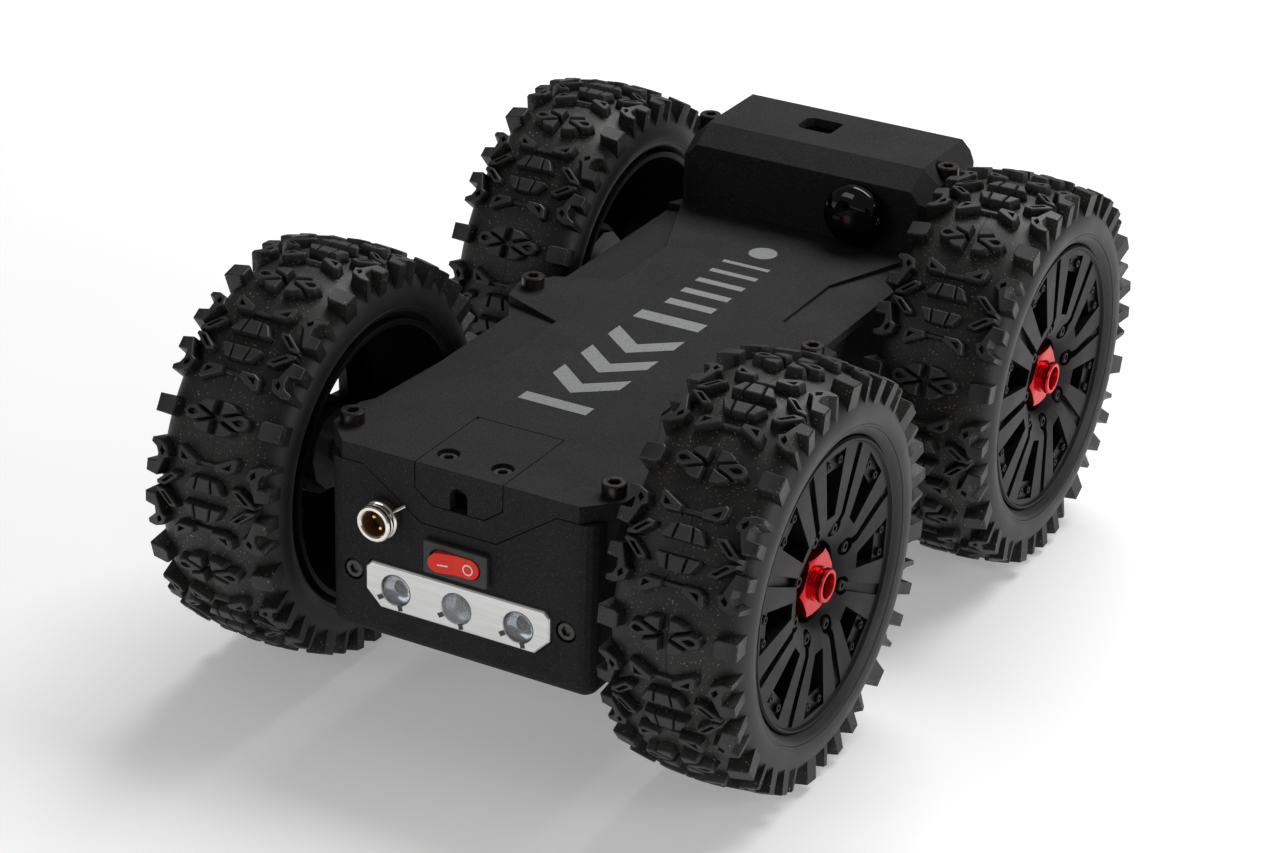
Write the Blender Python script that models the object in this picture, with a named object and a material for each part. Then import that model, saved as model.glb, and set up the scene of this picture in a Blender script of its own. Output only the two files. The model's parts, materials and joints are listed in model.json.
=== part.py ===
"""Four wheel robot chassis: a closed body with a camera housing on four off-road wheels.

The front, with the lamps and the switch, faces -Y. The camera is on the +X side. +Z is up,
and the origin is on the ground midway between the wheels. All lengths are in metres.
"""

import math

import bmesh
import bpy
from mathutils import Matrix, Vector

GAP = 0.0003                 # space left between parts that touch
SHARP_ANGLE = math.radians(35)

# Wheels
AXLE_Y = 0.0784              # half the wheelbase
AXLE_Z = 0.0605              # also the rolling radius
TYRE_X = 0.0728              # centre plane of a tyre
TYRE_HALF_WIDTH = 0.0205
CARCASS_RADIUS = 0.0575
BEAD_RADIUS = 0.0423
TYRE_SIDES = 24
TYRE_CAVITY = ((0.0535, 0.0140), (0.0460, 0.0174))     # radius and half width of the room inside
TREAD_HALF_WIDTH = 0.0085
LUG_TAPER = 0.0007
SHOULDER_LUG_HEIGHT = 0.0026
RIM_RADIUS = 0.0418
RIM_OUTER = 0.0185           # rim edge, measured outwards from the tyre's centre plane
RIM_INNER = -0.0200
RIM_FACE = 0.0177
RIM_SIDES = 24
RIM_BARREL = 0.0400          # inner radius at the open inner side
RIM_TURN = {"front_right": -4.0, "front_left": 15.0, "rear_right": 24.0, "rear_left": 18.0}   # degrees
SPOKE_BACK = 0.0132
HUB_RADIUS = 0.0145
NUT_POCKET = 0.0116
WINDOWS = 8
WINDOW_INNER, WINDOW_OUTER = 0.0199, 0.0370
WINDOW_INNER_HALF, WINDOW_OUTER_HALF = 0.0024, 0.0060
HEX_ACROSS_FLATS = 0.0170
HEX_RADIUS = HEX_ACROSS_FLATS / 2 / math.cos(math.pi / 6)
HUB_BACK, HUB_FRONT = -0.0020, 0.0080
FLANGE_RADIUS, FLANGE_BACK = 0.0125, -0.0050
STUB_RADIUS = 0.0060         # threaded end that carries the wheel nut
STUB_END = 0.0140
NUT_SEAT, NUT_FACE, NUT_END = 0.0115, 0.0155, 0.0188
COLLAR_RADIUS, COLLAR_HOLE = 0.0050, 0.0030
AXLE_RADIUS = 0.0040
AXLE_INNER_X, AXLE_OUTER_X = 0.0280, 0.0840
CORNERS = (("front_right", 1, -AXLE_Y), ("front_left", -1, -AXLE_Y),
           ("rear_right", 1, AXLE_Y), ("rear_left", -1, AXLE_Y))

# Body
FRONT_Y, REAR_Y = -0.1208, 0.1219
TUB_HALF = 0.0425
WALL = 0.0030
TUB_BOTTOM, TUB_TOP = 0.0295, 0.0830
CORNER = 0.0046              # radius of the tub's upright corners
BOTTOM_ROUND = 0.0044
ROUND_STEPS = 4
THICK_TOP = 0.0150           # depth below the rim over which the tub's screw bosses reach inwards
MOTOR_SEAT, BEARING_HOLE = 0.0127, 0.0084
MOTOR_SEAT_REACH = 0.0360
CRADLE_X, CRADLE_HALF_THICK, CRADLE_HALF_LENGTH = 0.0325, 0.0015, 0.0150
BOSS_DEPTH = 0.0200
BOSS_ROOT = 0.0400           # the side bosses start inside the tub's wall
SCREW_HOLE_DEPTH = 0.0125
FRONT_WALL = 0.0035
COVER_BOTTOM = TUB_TOP + GAP
DECK_Z = 0.0883
SKIRT_TOP_HALF, SKIRT_LOW_HALF, SKIRT_LOW_Z = 0.0304, 0.0119, 0.0702
PANEL_CREASE = 0.0284        # inner edge of the sunken side panels of the deck
PANEL_REACH = 0.0560         # the panels' cutters end past the deck's edge
PANEL_STEP = 0.0010
PANEL_SLOPE = 0.0774

FRONT_EAR = ((0.0460, -0.1120), (0.0465, -0.0975), (0.0420, -0.0935))       # plan, front to back
MIDDLE_EAR = ((0.0500, -0.0085), (0.0510, 0.0030), (0.0430, 0.0085))

# Camera housing, part of the top cover
HOUSING_Y = 0.0830
HOUSING_HALF = 0.0430
HOUSING_SHOULDER_Z, HOUSING_TOP = 0.1085, 0.1137
HOUSING_TOP_Y = 0.0917
HOUSING_LEAN = 0.0004        # the front wall leans back by this much
HOUSING_TOP_CHAMFER, HOUSING_SIDE_CHAMFER = 0.0055, 0.0025
CAMERA_ROOM_NECK = (0.0372, 0.0965, 0.1057)            # half width and y range between the rear screws
CAMERA_X, CAMERA_Z = 0.0205, 0.0987
CAMERA_RADIUS = 0.0097
CAMERA_BACK_Y, CAMERA_RIM_Y, CAMERA_TIP_Y = 0.0804, 0.0784, 0.0748
CAMERA_STEM = 0.0082
BARREL_RADIUS, BARREL_NECK = 0.0068, 0.0055
BARREL_STEP, BARREL_LENGTH = 0.0070, 0.0180
SLOT_X, SLOT_Y = (-0.0125, 0.0), (0.1028, 0.1133)
SLOT_CHAMFER, SLOT_SMALL_CHAMFER = 0.0020, 0.0010

# Hatch in the front of the deck
HATCH_HALF, HATCH_REAR_Y, HATCH_THICK, FLAP_THICK = 0.0138, -0.0884, 0.0038, 0.0030
FLAP_LOW_Z, FLAP_CORNER_Z, FLAP_LOW_HALF = 0.0764, 0.0805, 0.0081
HATCH_CORNER = 0.0012
HATCH_PAD = 0.0030
NOTCH_HALF, NOTCH_TOP = 0.0028, 0.0835

# Screws: x, y and the height of the top of the head
FRONT_SCREW = (0.0416, -0.1093, 0.0921)
MIDDLE_SCREW = (0.0472, -0.0020, 0.0921)
REAR_SCREW = (0.0420, 0.1011, 0.1126)
REAR_BOSS = 0.0040
HATCH_SCREW = (0.0086, -0.1121, 0.0873)
BAR_SCREW_X, BAR_SCREW_Z = 0.0341, 0.0495
M4_HEAD, M4_HEIGHT, M4_SHANK, M4_SOCKET = 0.0035, 0.0038, 0.0020, 0.0017
M3_HEAD, M3_HEIGHT, M3_SHANK, M3_SOCKET = 0.00275, 0.0016, 0.0015, 0.0014
SCREW_SIDES = 12
COVER_SCREW_LENGTH, REAR_SCREW_LENGTH, M3_LENGTH = 0.0160, 0.0370, 0.0080
HOLE_CLEARANCE = 0.0004
HEAD_CLEARANCE = 0.0005
BAR_SCREW_SINK = 0.0002
BAR_COUNTERBORE, BAR_COUNTERBORE_DEPTH = 0.0033, 0.0024
CUT = 0.0010                 # how far a cutter reaches past what it cuts

# Lamp bar
BAR_HALF, BAR_LOW, BAR_HIGH = 0.0295, 0.0405, 0.0542
BAR_LOW_CHAMFER, BAR_TOP_CHAMFER = 0.0048, 0.0018
BAR_PROUD, BAR_SINK = 0.0010, 0.0012
LAMP_X, LAMP_Z = 0.0197, 0.0471
LAMP_RADIUS = 0.0046
LAMP_SIDES = 16
LAMP_BOARD_HALF, LAMP_BOARD_LOW, LAMP_BOARD_HIGH, LAMP_BOARD_THICK = 0.0385, 0.0435, 0.0545, 0.0022

# Switch
SWITCH_Z = 0.0613
BEZEL_HALF_X, BEZEL_HALF_Z, BEZEL_PROUD = 0.0102, 0.0050, 0.0020
SWITCH_BODY_HALF_X, SWITCH_BODY_HALF_Z, SWITCH_BODY_BACK = 0.0095, 0.0043, -0.1060
ROCKER_HALF_X, ROCKER_HALF_Z = 0.0076, 0.0030
ROCKER_POCKET_DEPTH = 0.0032
ROCKER_PIVOT_Y = -0.1216
ROCKER_TILT = math.radians(7)
ROCKER_BACK, ROCKER_CREASE = 0.0012, -0.0016           # y of its back and of its front crease, from the pin
PIN_RADIUS, PIN_HALF, PIN_HOLE, PIN_HOLE_HALF = 0.0008, 0.0039, 0.0011, 0.0042

# Power socket
SOCKET_X, SOCKET_Z = -0.0238, 0.0688
SOCKET_FRONT_Y = -0.1268
SOCKET_BORE, SOCKET_LIP, SOCKET_NECK, SOCKET_COLLAR = 0.0039, 0.00535, 0.0047, 0.0056
SOCKET_THREAD, SOCKET_TAIL_BORE, SOCKET_TAIL = 0.0044, 0.0030, 0.0120
SOCKET_HOLE = 0.0048
SOCKET_NUT_RADIUS, SOCKET_NUT_THICK = 0.0072, 0.0022
INSERT_RADIUS, INSERT_BACK = 0.0035, 0.0034
CONTACT_RADIUS, CONTACT_LENGTH, CONTACT_OFFSET = 0.0005, 0.0020, 0.0012

# Inside
BATTERY_LOW, BATTERY_HIGH, BATTERY_HEIGHT = (-0.0270, -0.0520), (0.0270, 0.0280), 0.0250
BATTERY_CHAMFER = 0.0020
BOARD_LOW, BOARD_HIGH, BOARD_LIFT, BOARD_THICK = (-0.0250, -0.0480), (0.0250, 0.0240), 0.0040, 0.0016
POST_RADIUS, POST_INSET = 0.0022, 0.0040
HEAT_SINK_LOW, HEAT_SINK_HIGH, HEAT_SINK_HEIGHT = (-0.0120, -0.0300), (0.0120, -0.0060), 0.0064
TERMINALS_LOW, TERMINALS_HIGH, TERMINALS_HEIGHT = (-0.0200, 0.0020), (0.0200, 0.0120), 0.0054
MOTOR_RADIUS, GEARBOX_RADIUS = 0.0118, 0.0123
MOTOR_START, GEARBOX_START, MOTOR_END = 0.0035, 0.0200, 0.0355
BEARING_BORE, BEARING_RADIUS, BEARING_FLANGE, BEARING_FLANGE_THICK = 0.00435, 0.0080, 0.0095, 0.0012
BEARING_START = 0.0392


# --------------------------------------------------------------------------- helpers

def clear_scene():
    for obj in list(bpy.data.objects):
        bpy.data.objects.remove(obj, do_unlink=True)


def material(name, colour, roughness, metallic=0.0):
    """A Principled material of one colour."""
    mat = bpy.data.materials.get(name) or bpy.data.materials.new(name)
    mat.use_nodes = True
    shader = mat.node_tree.nodes["Principled BSDF"]
    shader.inputs["Base Color"].default_value = (*colour, 1.0)
    shader.inputs["Roughness"].default_value = roughness
    shader.inputs["Metallic"].default_value = metallic
    mat.diffuse_color = (*colour, 1.0)
    return mat


def finish_mesh(bm, name):
    """Turns a bmesh into a mesh with outward normals, smooth where it is round."""
    bmesh.ops.recalc_face_normals(bm, faces=bm.faces)
    if bm.calc_volume(signed=True) < 0:
        bmesh.ops.reverse_faces(bm, faces=bm.faces)
    mesh = bpy.data.meshes.new(name)
    bm.to_mesh(mesh)
    bm.free()
    mesh.shade_smooth()
    mesh.set_sharp_from_angle(angle=SHARP_ANGLE)
    return mesh


def place(name, mesh, mat=None, parent=None, location=(0, 0, 0), rotation=(0, 0, 0)):
    obj = bpy.data.objects.new(name, mesh)
    bpy.context.collection.objects.link(obj)
    obj.parent = parent
    obj.location = location
    obj.rotation_euler = rotation
    if mat is not None and not mesh.materials:
        mesh.materials.append(mat)
    return obj


def prism(outline, low, high, axis="Z"):
    """Extrudes an outline along an axis. Its points are (y, z), (x, z) or (x, y)."""
    put = {"X": lambda u, v, w: (w, u, v),
           "Y": lambda u, v, w: (u, w, v),
           "Z": lambda u, v, w: (u, v, w)}[axis]
    bm = bmesh.new()
    base = [bm.verts.new(put(u, v, low)) for u, v in outline]
    face = bm.faces.new(base)
    top = bmesh.ops.extrude_face_region(bm, geom=[face])["geom"]
    lift = Vector(put(0, 0, high - low))
    bmesh.ops.translate(bm, verts=[v for v in top if isinstance(v, bmesh.types.BMVert)], vec=lift)
    return bm


def loft(rings):
    """Joins rings of equally many points into one closed body."""
    bm = bmesh.new()
    made = [[bm.verts.new(point) for point in ring] for ring in rings]
    for one, two in zip(made, made[1:]):
        for i in range(len(one)):
            bm.faces.new((one[i - 1], one[i], two[i], two[i - 1]))
    bm.faces.new(made[0])
    bm.faces.new(made[-1])
    return bm


def box(low, high):
    return prism([(low[0], low[1]), (high[0], low[1]), (high[0], high[1]), (low[0], high[1])],
                 low[2], high[2])


def slab(low, high, bottom, top):
    """A box from two corners of its plan and two heights."""
    return box((*low, bottom), (*high, top))


def arc(centre, radius, start, sweep, steps):
    """Points on an arc, with both of its ends. Angles are in radians."""
    return [(centre[0] + radius * math.cos(start + sweep * i / steps),
             centre[1] + radius * math.sin(start + sweep * i / steps)) for i in range(steps + 1)]


def regular(sides, radius, centre=(0, 0), turn=0.0):
    """Corners of a regular polygon."""
    return [(centre[0] + radius * math.cos(turn + math.tau * i / sides),
             centre[1] + radius * math.sin(turn + math.tau * i / sides)) for i in range(sides)]


def turned(profile, sides, turn=0.0):
    """Spins a closed profile of (radius, x) points about the X axis."""
    bm = bmesh.new()
    start = Matrix.Rotation(turn, 4, "X")
    points = [bm.verts.new(start @ Vector((x, 0, radius))) for radius, x in profile]
    edges = [bm.edges.new(pair) for pair in zip(points, points[1:] + points[:1])]
    bmesh.ops.spin(bm, geom=points + edges, axis=(1, 0, 0), cent=(0, 0, 0), dvec=(0, 0, 0),
                   angle=math.tau, steps=sides, use_merge=True, use_duplicate=False)
    bmesh.ops.remove_doubles(bm, verts=bm.verts, dist=1e-6)
    return bm


def along_y(bm, centre):
    """Turns a piece made about the X axis to point along +Y, through centre."""
    bm.transform(Matrix.Translation(centre) @ Matrix.Rotation(math.radians(90), 4, "Z"))
    return bm


def mirrored(side):
    """A closed outline from its +X half, listed front to back."""
    return side + [(-x, y) for x, y in reversed(side)]


def shape(target, bm, name, operation="DIFFERENCE", parent=None):
    """Adds a Boolean with a hidden cutter, or with a piece to join."""
    cutter = place(target.name + "_" + name, finish_mesh(bm, name), parent=parent)
    cutter.hide_render = True
    cutter.display_type = "WIRE"
    modifier = target.modifiers.new(name, "BOOLEAN")
    modifier.operation = operation
    modifier.object = cutter
    return cutter


def drill(target, x, y, radius, low, high, name, sides=SCREW_SIDES):
    shape(target, prism(regular(sides, radius, (x, y)), low, high), name)


# --------------------------------------------------------------------------- body

def tub_outline(inset):
    """Plan of the tub, with round corners, drawn in by inset."""
    half, radius = TUB_HALF - CORNER, CORNER - inset
    quarter = math.pi / 2
    front = arc((half, FRONT_Y + CORNER), radius, -quarter, quarter, ROUND_STEPS)
    rear = arc((half, REAR_Y - CORNER), radius, 0.0, quarter, ROUND_STEPS)
    return mirrored(front + rear)


def tub_body():
    rings = []
    for i in range(ROUND_STEPS + 1):
        angle = math.pi / 2 * i / ROUND_STEPS
        z = TUB_BOTTOM + BOTTOM_ROUND * (1 - math.cos(angle))
        rings.append([(x, y, z) for x, y in tub_outline(BOTTOM_ROUND * (1 - math.sin(angle)))])
    rings.append([(x, y, TUB_TOP) for x, y in tub_outline(0.0)])
    return loft(rings)


def v_skirt(grow, low_y, high_y):
    """The V of the cover's front skirt, grown outwards for the tub's clearance."""
    outline = [(-SKIRT_TOP_HALF - grow, TUB_TOP + CUT), (-SKIRT_TOP_HALF - grow, TUB_TOP),
               (-SKIRT_LOW_HALF - grow / 2, SKIRT_LOW_Z - grow),
               (SKIRT_LOW_HALF + grow / 2, SKIRT_LOW_Z - grow),
               (SKIRT_TOP_HALF + grow, TUB_TOP), (SKIRT_TOP_HALF + grow, TUB_TOP + CUT)]
    return prism(outline, low_y, high_y, "Y")


def add_side_bosses(tub):
    """Bosses under the deck's ears that lean in to the tub's side, and round ones at the rear."""
    for name, ear in (("front_boss", FRONT_EAR), ("middle_boss", MIDDLE_EAR)):
        for side in (1, -1):
            outline = [(side * BOSS_ROOT, ear[0][1] - 0.0040)]
            outline += [(side * x, y) for x, y in ear]
            outline += [(side * BOSS_ROOT, ear[-1][1])]
            bm = prism(outline, TUB_TOP - BOSS_DEPTH, TUB_TOP)
            bm.verts.ensure_lookup_table()
            for vert in bm.verts:
                if vert.co.z < TUB_TOP - BOSS_DEPTH / 2:
                    vert.co.x = side * min(abs(vert.co.x), TUB_HALF - 0.0010)
            shape(tub, bm, f"{name}_{side}", "UNION")
    for side in (1, -1):
        shape(tub, rear_column(side, TUB_TOP - BOSS_DEPTH, TUB_TOP), "rear_boss", "UNION")


def rear_column(side, low, high):
    """A half-round boss on the body's side around a rear screw."""
    x, y, _ = REAR_SCREW
    outline = [(side * BOSS_ROOT, y - REAR_BOSS)]
    outline += [(side * (x + dx), y + dy) for dx, dy in
                arc((0, 0), REAR_BOSS, -math.pi / 2, math.pi, 2 * ROUND_STEPS)]
    outline += [(side * BOSS_ROOT, y + REAR_BOSS)]
    return prism(outline, low, high)


def add_cradles(tub):
    """Upright ribs that hold the four gearmotors."""
    for y in (-AXLE_Y, AXLE_Y):
        for x in (CRADLE_X, -CRADLE_X):
            low = (x - CRADLE_HALF_THICK, y - CRADLE_HALF_LENGTH)
            high = (x + CRADLE_HALF_THICK, y + CRADLE_HALF_LENGTH)
            shape(tub, slab(low, high, TUB_BOTTOM + WALL - 0.0005, AXLE_Z - 0.0030), "cradle", "UNION")


def mouth_outline():
    """Plan of the tub's opening, narrower beside the rear screws."""
    inner, neck = TUB_HALF - WALL, CAMERA_ROOM_NECK
    return mirrored([(inner, FRONT_Y + FRONT_WALL), (inner, neck[1]), (neck[0], neck[1]),
                     (neck[0], neck[2]), (inner, neck[2]), (inner, REAR_Y - WALL)])


def add_tub(mat):
    tub = place("chassis_tub", finish_mesh(tub_body(), "chassis_tub"), mat)
    add_side_bosses(tub)
    inner = TUB_HALF - WALL
    shape(tub, slab((-inner, FRONT_Y + FRONT_WALL), (inner, REAR_Y - WALL), TUB_BOTTOM + WALL,
                    TUB_TOP - THICK_TOP + CUT), "cavity")
    shape(tub, prism(mouth_outline(), TUB_TOP - THICK_TOP, TUB_TOP + CUT), "mouth")
    add_cradles(tub)
    shape(tub, v_skirt(GAP, FRONT_Y - CUT, FRONT_Y + FRONT_WALL + CUT), "skirt_notch")
    for y in (-AXLE_Y, AXLE_Y):
        seat = regular(16, MOTOR_SEAT, (y, AXLE_Z))
        hole = regular(12, BEARING_HOLE, (y, AXLE_Z))
        shape(tub, prism(seat, -MOTOR_SEAT_REACH, MOTOR_SEAT_REACH, "X"), "motor_seat")
        shape(tub, prism(hole, -TUB_HALF - 2 * CUT, TUB_HALF + 2 * CUT, "X"), "bearing_hole")
    for side in (1, -1):
        for x, y, _ in (FRONT_SCREW, MIDDLE_SCREW, REAR_SCREW):
            drill(tub, side * x, y, M4_SHANK + HOLE_CLEARANCE, TUB_TOP - SCREW_HOLE_DEPTH, TUB_TOP + CUT,
                  "screw_hole")
    cut_front(tub)


def cut_front(tub):
    """Openings of the front wall for the lamps, switch, socket and screws."""
    out, through = FRONT_Y - CUT, FRONT_Y + FRONT_WALL + CUT
    shape(tub, prism(bar_outline(GAP), out, FRONT_Y + BAR_SINK, "Y"), "bar_pocket")
    for x in (-LAMP_X, 0, LAMP_X):
        hole = regular(LAMP_SIDES, LAMP_RADIUS + GAP, (x, LAMP_Z))
        shape(tub, prism(hole, out, through, "Y"), "lamp_hole")
    half_x, half_z = SWITCH_BODY_HALF_X + GAP, SWITCH_BODY_HALF_Z + GAP
    shape(tub, box((-half_x, out, SWITCH_Z - half_z), (half_x, through, SWITCH_Z + half_z)), "switch_hole")
    shape(tub, prism(regular(16, SOCKET_HOLE, (SOCKET_X, SOCKET_Z)), out, through, "Y"), "socket_hole")
    for side in (1, -1):
        centre = (side * BAR_SCREW_X, BAR_SCREW_Z)
        pocket = regular(SCREW_SIDES, BAR_COUNTERBORE, centre)
        hole = regular(SCREW_SIDES, M3_SHANK + HOLE_CLEARANCE, centre)
        shape(tub, prism(pocket, out, FRONT_Y + BAR_COUNTERBORE_DEPTH, "Y"), "counterbore")
        shape(tub, prism(hole, out, through, "Y"), "bar_screw_hole")


def deck_outline():
    """Plan of the deck with its four ears, listed front to back as (x, y)."""
    return mirrored([(0.0375, FRONT_Y), (0.0465, -0.1115), (0.0470, -0.0975), (0.0446, -0.0933),
                     (0.0452, -0.0190), (0.0507, -0.0104), (0.0525, -0.0022), (0.0521, 0.0043),
                     (0.0468, 0.0065), (0.0452, 0.0110), (0.0450, 0.0800), (0.0430, 0.0845),
                     (0.0430, 0.0960), (0.0430, REAR_Y - 0.0030), (0.0400, REAR_Y)])


def sunken_panel(side, facets):
    """A cutter whose floor slopes down towards the deck's edge."""
    bm = bmesh.new()
    corners = {}
    for facet in facets:
        for x, y, depth in facet:
            if (x, y) not in corners:
                corners[(x, y)] = bm.verts.new((side * x, y, DECK_Z - depth))
        bm.faces.new([corners[(x, y)] for x, y, _ in facet])
    top = bmesh.ops.extrude_face_region(bm, geom=list(bm.faces), use_keep_orig=True)["geom"]
    for vert in top:
        if isinstance(vert, bmesh.types.BMVert):
            vert.co.z = DECK_Z + 0.002
    return bm


def panel_depth(x):
    return PANEL_STEP + (x - PANEL_CREASE) * PANEL_SLOPE


def cut_panels(cover):
    reach, crease = PANEL_REACH, PANEL_CREASE
    edge, step = panel_depth(reach), PANEL_STEP
    front = [[(crease, -0.0204, step), (crease, -0.0590, step), (reach, -0.0590, edge),
              (reach, -0.0089, edge)],
             [(crease, -0.0590, step), (0.0440, -0.0934, 0.0), (reach, -0.0934, edge - 0.0022),
              (reach, -0.0590, edge)]]
    rear = [[(crease, 0.0156, step), (reach, 0.0041, edge), (reach, 0.0795, edge),
             (0.0405, 0.0795, panel_depth(0.0405)), (crease, 0.0474, step)]]
    for side in (1, -1):
        shape(cover, sunken_panel(side, front), "front_panel")
        shape(cover, sunken_panel(side, rear), "rear_panel")


def is_side_edge(edge):
    """True for an edge that lies in one of the housing's side faces."""
    first, second = (vert.co.x for vert in edge.verts)
    return abs(abs(first) - HOUSING_HALF) < 1e-6 and abs(first - second) < 1e-6


def housing_block():
    outline = [(HOUSING_Y, COVER_BOTTOM), (HOUSING_Y + HOUSING_LEAN, HOUSING_SHOULDER_Z),
               (HOUSING_TOP_Y, HOUSING_TOP), (REAR_Y, HOUSING_TOP), (REAR_Y, COVER_BOTTOM)]
    bm = prism(outline, -HOUSING_HALF, HOUSING_HALF, "X")
    top = [e for e in bm.edges if is_side_edge(e)
           and all(v.co.z > HOUSING_SHOULDER_Z - 1e-5 for v in e.verts)]
    bmesh.ops.bevel(bm, geom=top, offset=HOUSING_TOP_CHAMFER, segments=1, affect="EDGES")
    upright = [e for e in bm.edges if is_side_edge(e) and abs(e.verts[0].co.z - e.verts[1].co.z) > 0.015]
    bmesh.ops.bevel(bm, geom=upright, offset=HOUSING_SIDE_CHAMFER, segments=1, affect="EDGES")
    return bm


def camera_room():
    """The room for the camera, narrower beside the two rear screws."""
    inner, neck = HOUSING_HALF - WALL, CAMERA_ROOM_NECK
    plan = mirrored([(inner, HOUSING_Y + WALL), (inner, neck[1]), (neck[0], neck[1]), (neck[0], neck[2]),
                     (inner, neck[2]), (inner, REAR_Y - WALL)])
    return prism(plan, COVER_BOTTOM - CUT, HOUSING_SHOULDER_Z - 0.0025)


def slot_outline():
    """Plan of the roof slot, with larger chamfers on its left."""
    (x0, x1), (y0, y1) = SLOT_X, SLOT_Y
    big, small = SLOT_CHAMFER, SLOT_SMALL_CHAMFER
    return [(x0 + big, y0), (x1 - small, y0), (x1, y0 + small), (x1, y1 - small),
            (x1 - small, y1), (x0 + big, y1), (x0, y1 - big), (x0, y0 + big)]


def cut_housing(cover):
    shape(cover, camera_room(), "camera_room")
    roof = HOUSING_TOP - WALL
    shape(cover, slab((-0.0340, HOUSING_TOP_Y + 0.0023), (0.0340, REAR_Y - WALL),
                      HOUSING_SHOULDER_Z - 0.0030, roof), "roof_room")
    shape(cover, prism(slot_outline(), roof - CUT, HOUSING_TOP + CUT), "slot")
    lens = regular(24, CAMERA_STEM + GAP, (CAMERA_X, CAMERA_Z))
    shape(cover, prism(lens, HOUSING_Y - CUT, HOUSING_Y + WALL + CUT, "Y"), "camera_hole")


def cut_hatch_seat(cover):
    half = HATCH_HALF + GAP
    shape(cover, slab((-half, FRONT_Y - CUT), (half, HATCH_REAR_Y + GAP), DECK_Z - HATCH_THICK - GAP,
                      DECK_Z + CUT), "hatch_pocket")
    shape(cover, prism(flap_outline(GAP), FRONT_Y - CUT, FRONT_Y + FLAP_THICK + GAP, "Y"), "flap_pocket")


def drill_cover(cover):
    for side in (1, -1):
        for x, y, top in (FRONT_SCREW, MIDDLE_SCREW, REAR_SCREW):
            drill(cover, side * x, y, M4_SHANK + HOLE_CLEARANCE, COVER_BOTTOM - CUT, top, "screw_hole")
        x, y, top = REAR_SCREW
        drill(cover, side * x, y, M4_HEAD + HEAD_CLEARANCE, top - M4_HEIGHT - GAP, HOUSING_TOP + CUT,
              "rear_notch", 16)
        x, y, _ = HATCH_SCREW
        drill(cover, side * x, y, M3_SHANK + HOLE_CLEARANCE, TUB_TOP - HATCH_PAD - CUT, DECK_Z,
              "hatch_screw_hole")


def add_cover(mat):
    cover = place("top_cover", finish_mesh(prism(deck_outline(), COVER_BOTTOM, DECK_Z), "top_cover"), mat)
    cut_panels(cover)
    shape(cover, housing_block(), "housing", "UNION")
    for side in (1, -1):
        column = rear_column(side, COVER_BOTTOM, REAR_SCREW[2] - M4_HEIGHT - GAP)
        shape(cover, column, "rear_column", "UNION")
    shape(cover, v_skirt(0.0, FRONT_Y, FRONT_Y + FRONT_WALL - GAP), "skirt", "UNION")
    shape(cover, slab((-HATCH_HALF, FRONT_Y + 0.0040), (HATCH_HALF, HATCH_REAR_Y), TUB_TOP - HATCH_PAD,
                      TUB_TOP + CUT), "hatch_pad", "UNION")
    cut_housing(cover)
    cut_hatch_seat(cover)
    drill_cover(cover)


def flap_outline(grow):
    """Front view of the hatch: a shield with chamfered lower corners."""
    half, low_half = HATCH_HALF + grow, FLAP_LOW_HALF + grow / 2
    corner_z, low_z, top = FLAP_CORNER_Z - grow / 2, FLAP_LOW_Z - grow, DECK_Z - CUT
    return [(-half, top), (-half, corner_z), (-low_half, low_z), (low_half, low_z), (half, corner_z),
            (half, top)]


def add_hatch(mat):
    plan = [(-HATCH_HALF, FRONT_Y), (HATCH_HALF, FRONT_Y), (HATCH_HALF, HATCH_REAR_Y),
            (-HATCH_HALF + HATCH_CORNER, HATCH_REAR_Y), (-HATCH_HALF, HATCH_REAR_Y - HATCH_CORNER)]
    hatch = place("access_hatch", finish_mesh(prism(plan, DECK_Z - HATCH_THICK, DECK_Z), "access_hatch"), mat)
    shape(hatch, prism(flap_outline(0.0), FRONT_Y, FRONT_Y + FLAP_THICK, "Y"), "flap", "UNION")
    notch = [(NOTCH_HALF, FLAP_LOW_Z - CUT)]
    notch += arc((0, NOTCH_TOP - NOTCH_HALF), NOTCH_HALF, 0.0, math.pi, 2 * ROUND_STEPS)
    notch += [(-NOTCH_HALF, FLAP_LOW_Z - CUT)]
    shape(hatch, prism(notch, FRONT_Y - CUT, FRONT_Y + FLAP_THICK + CUT, "Y"), "notch")
    for side in (1, -1):
        x, y, top = HATCH_SCREW
        drill(hatch, side * x, y, M3_HEAD + HEAD_CLEARANCE, top - M3_HEIGHT - GAP, DECK_Z + CUT,
              "counterbore", 16)
        drill(hatch, side * x, y, M3_SHANK + HOLE_CLEARANCE, DECK_Z - HATCH_THICK - CUT, DECK_Z, "screw_hole")


# --------------------------------------------------------------------------- screws

def screw_mesh(name, head, height, shank, socket, length):
    """A socket cap screw that points down, with the top of its head at z = 0."""
    base = place(name, finish_mesh(prism(regular(SCREW_SIDES, head), -height, 0.0), name))
    shape(base, prism(regular(8, shank), -height - length, -height / 2), "shank", "UNION")
    shape(base, prism(regular(6, socket), -height * 0.55, CUT), "socket")
    graph = bpy.context.evaluated_depsgraph_get()
    mesh = bpy.data.meshes.new_from_object(base.evaluated_get(graph))
    for cutter in [m.object for m in base.modifiers]:
        bpy.data.objects.remove(cutter)
    bpy.data.objects.remove(base)
    mesh.name = name
    return mesh


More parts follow.
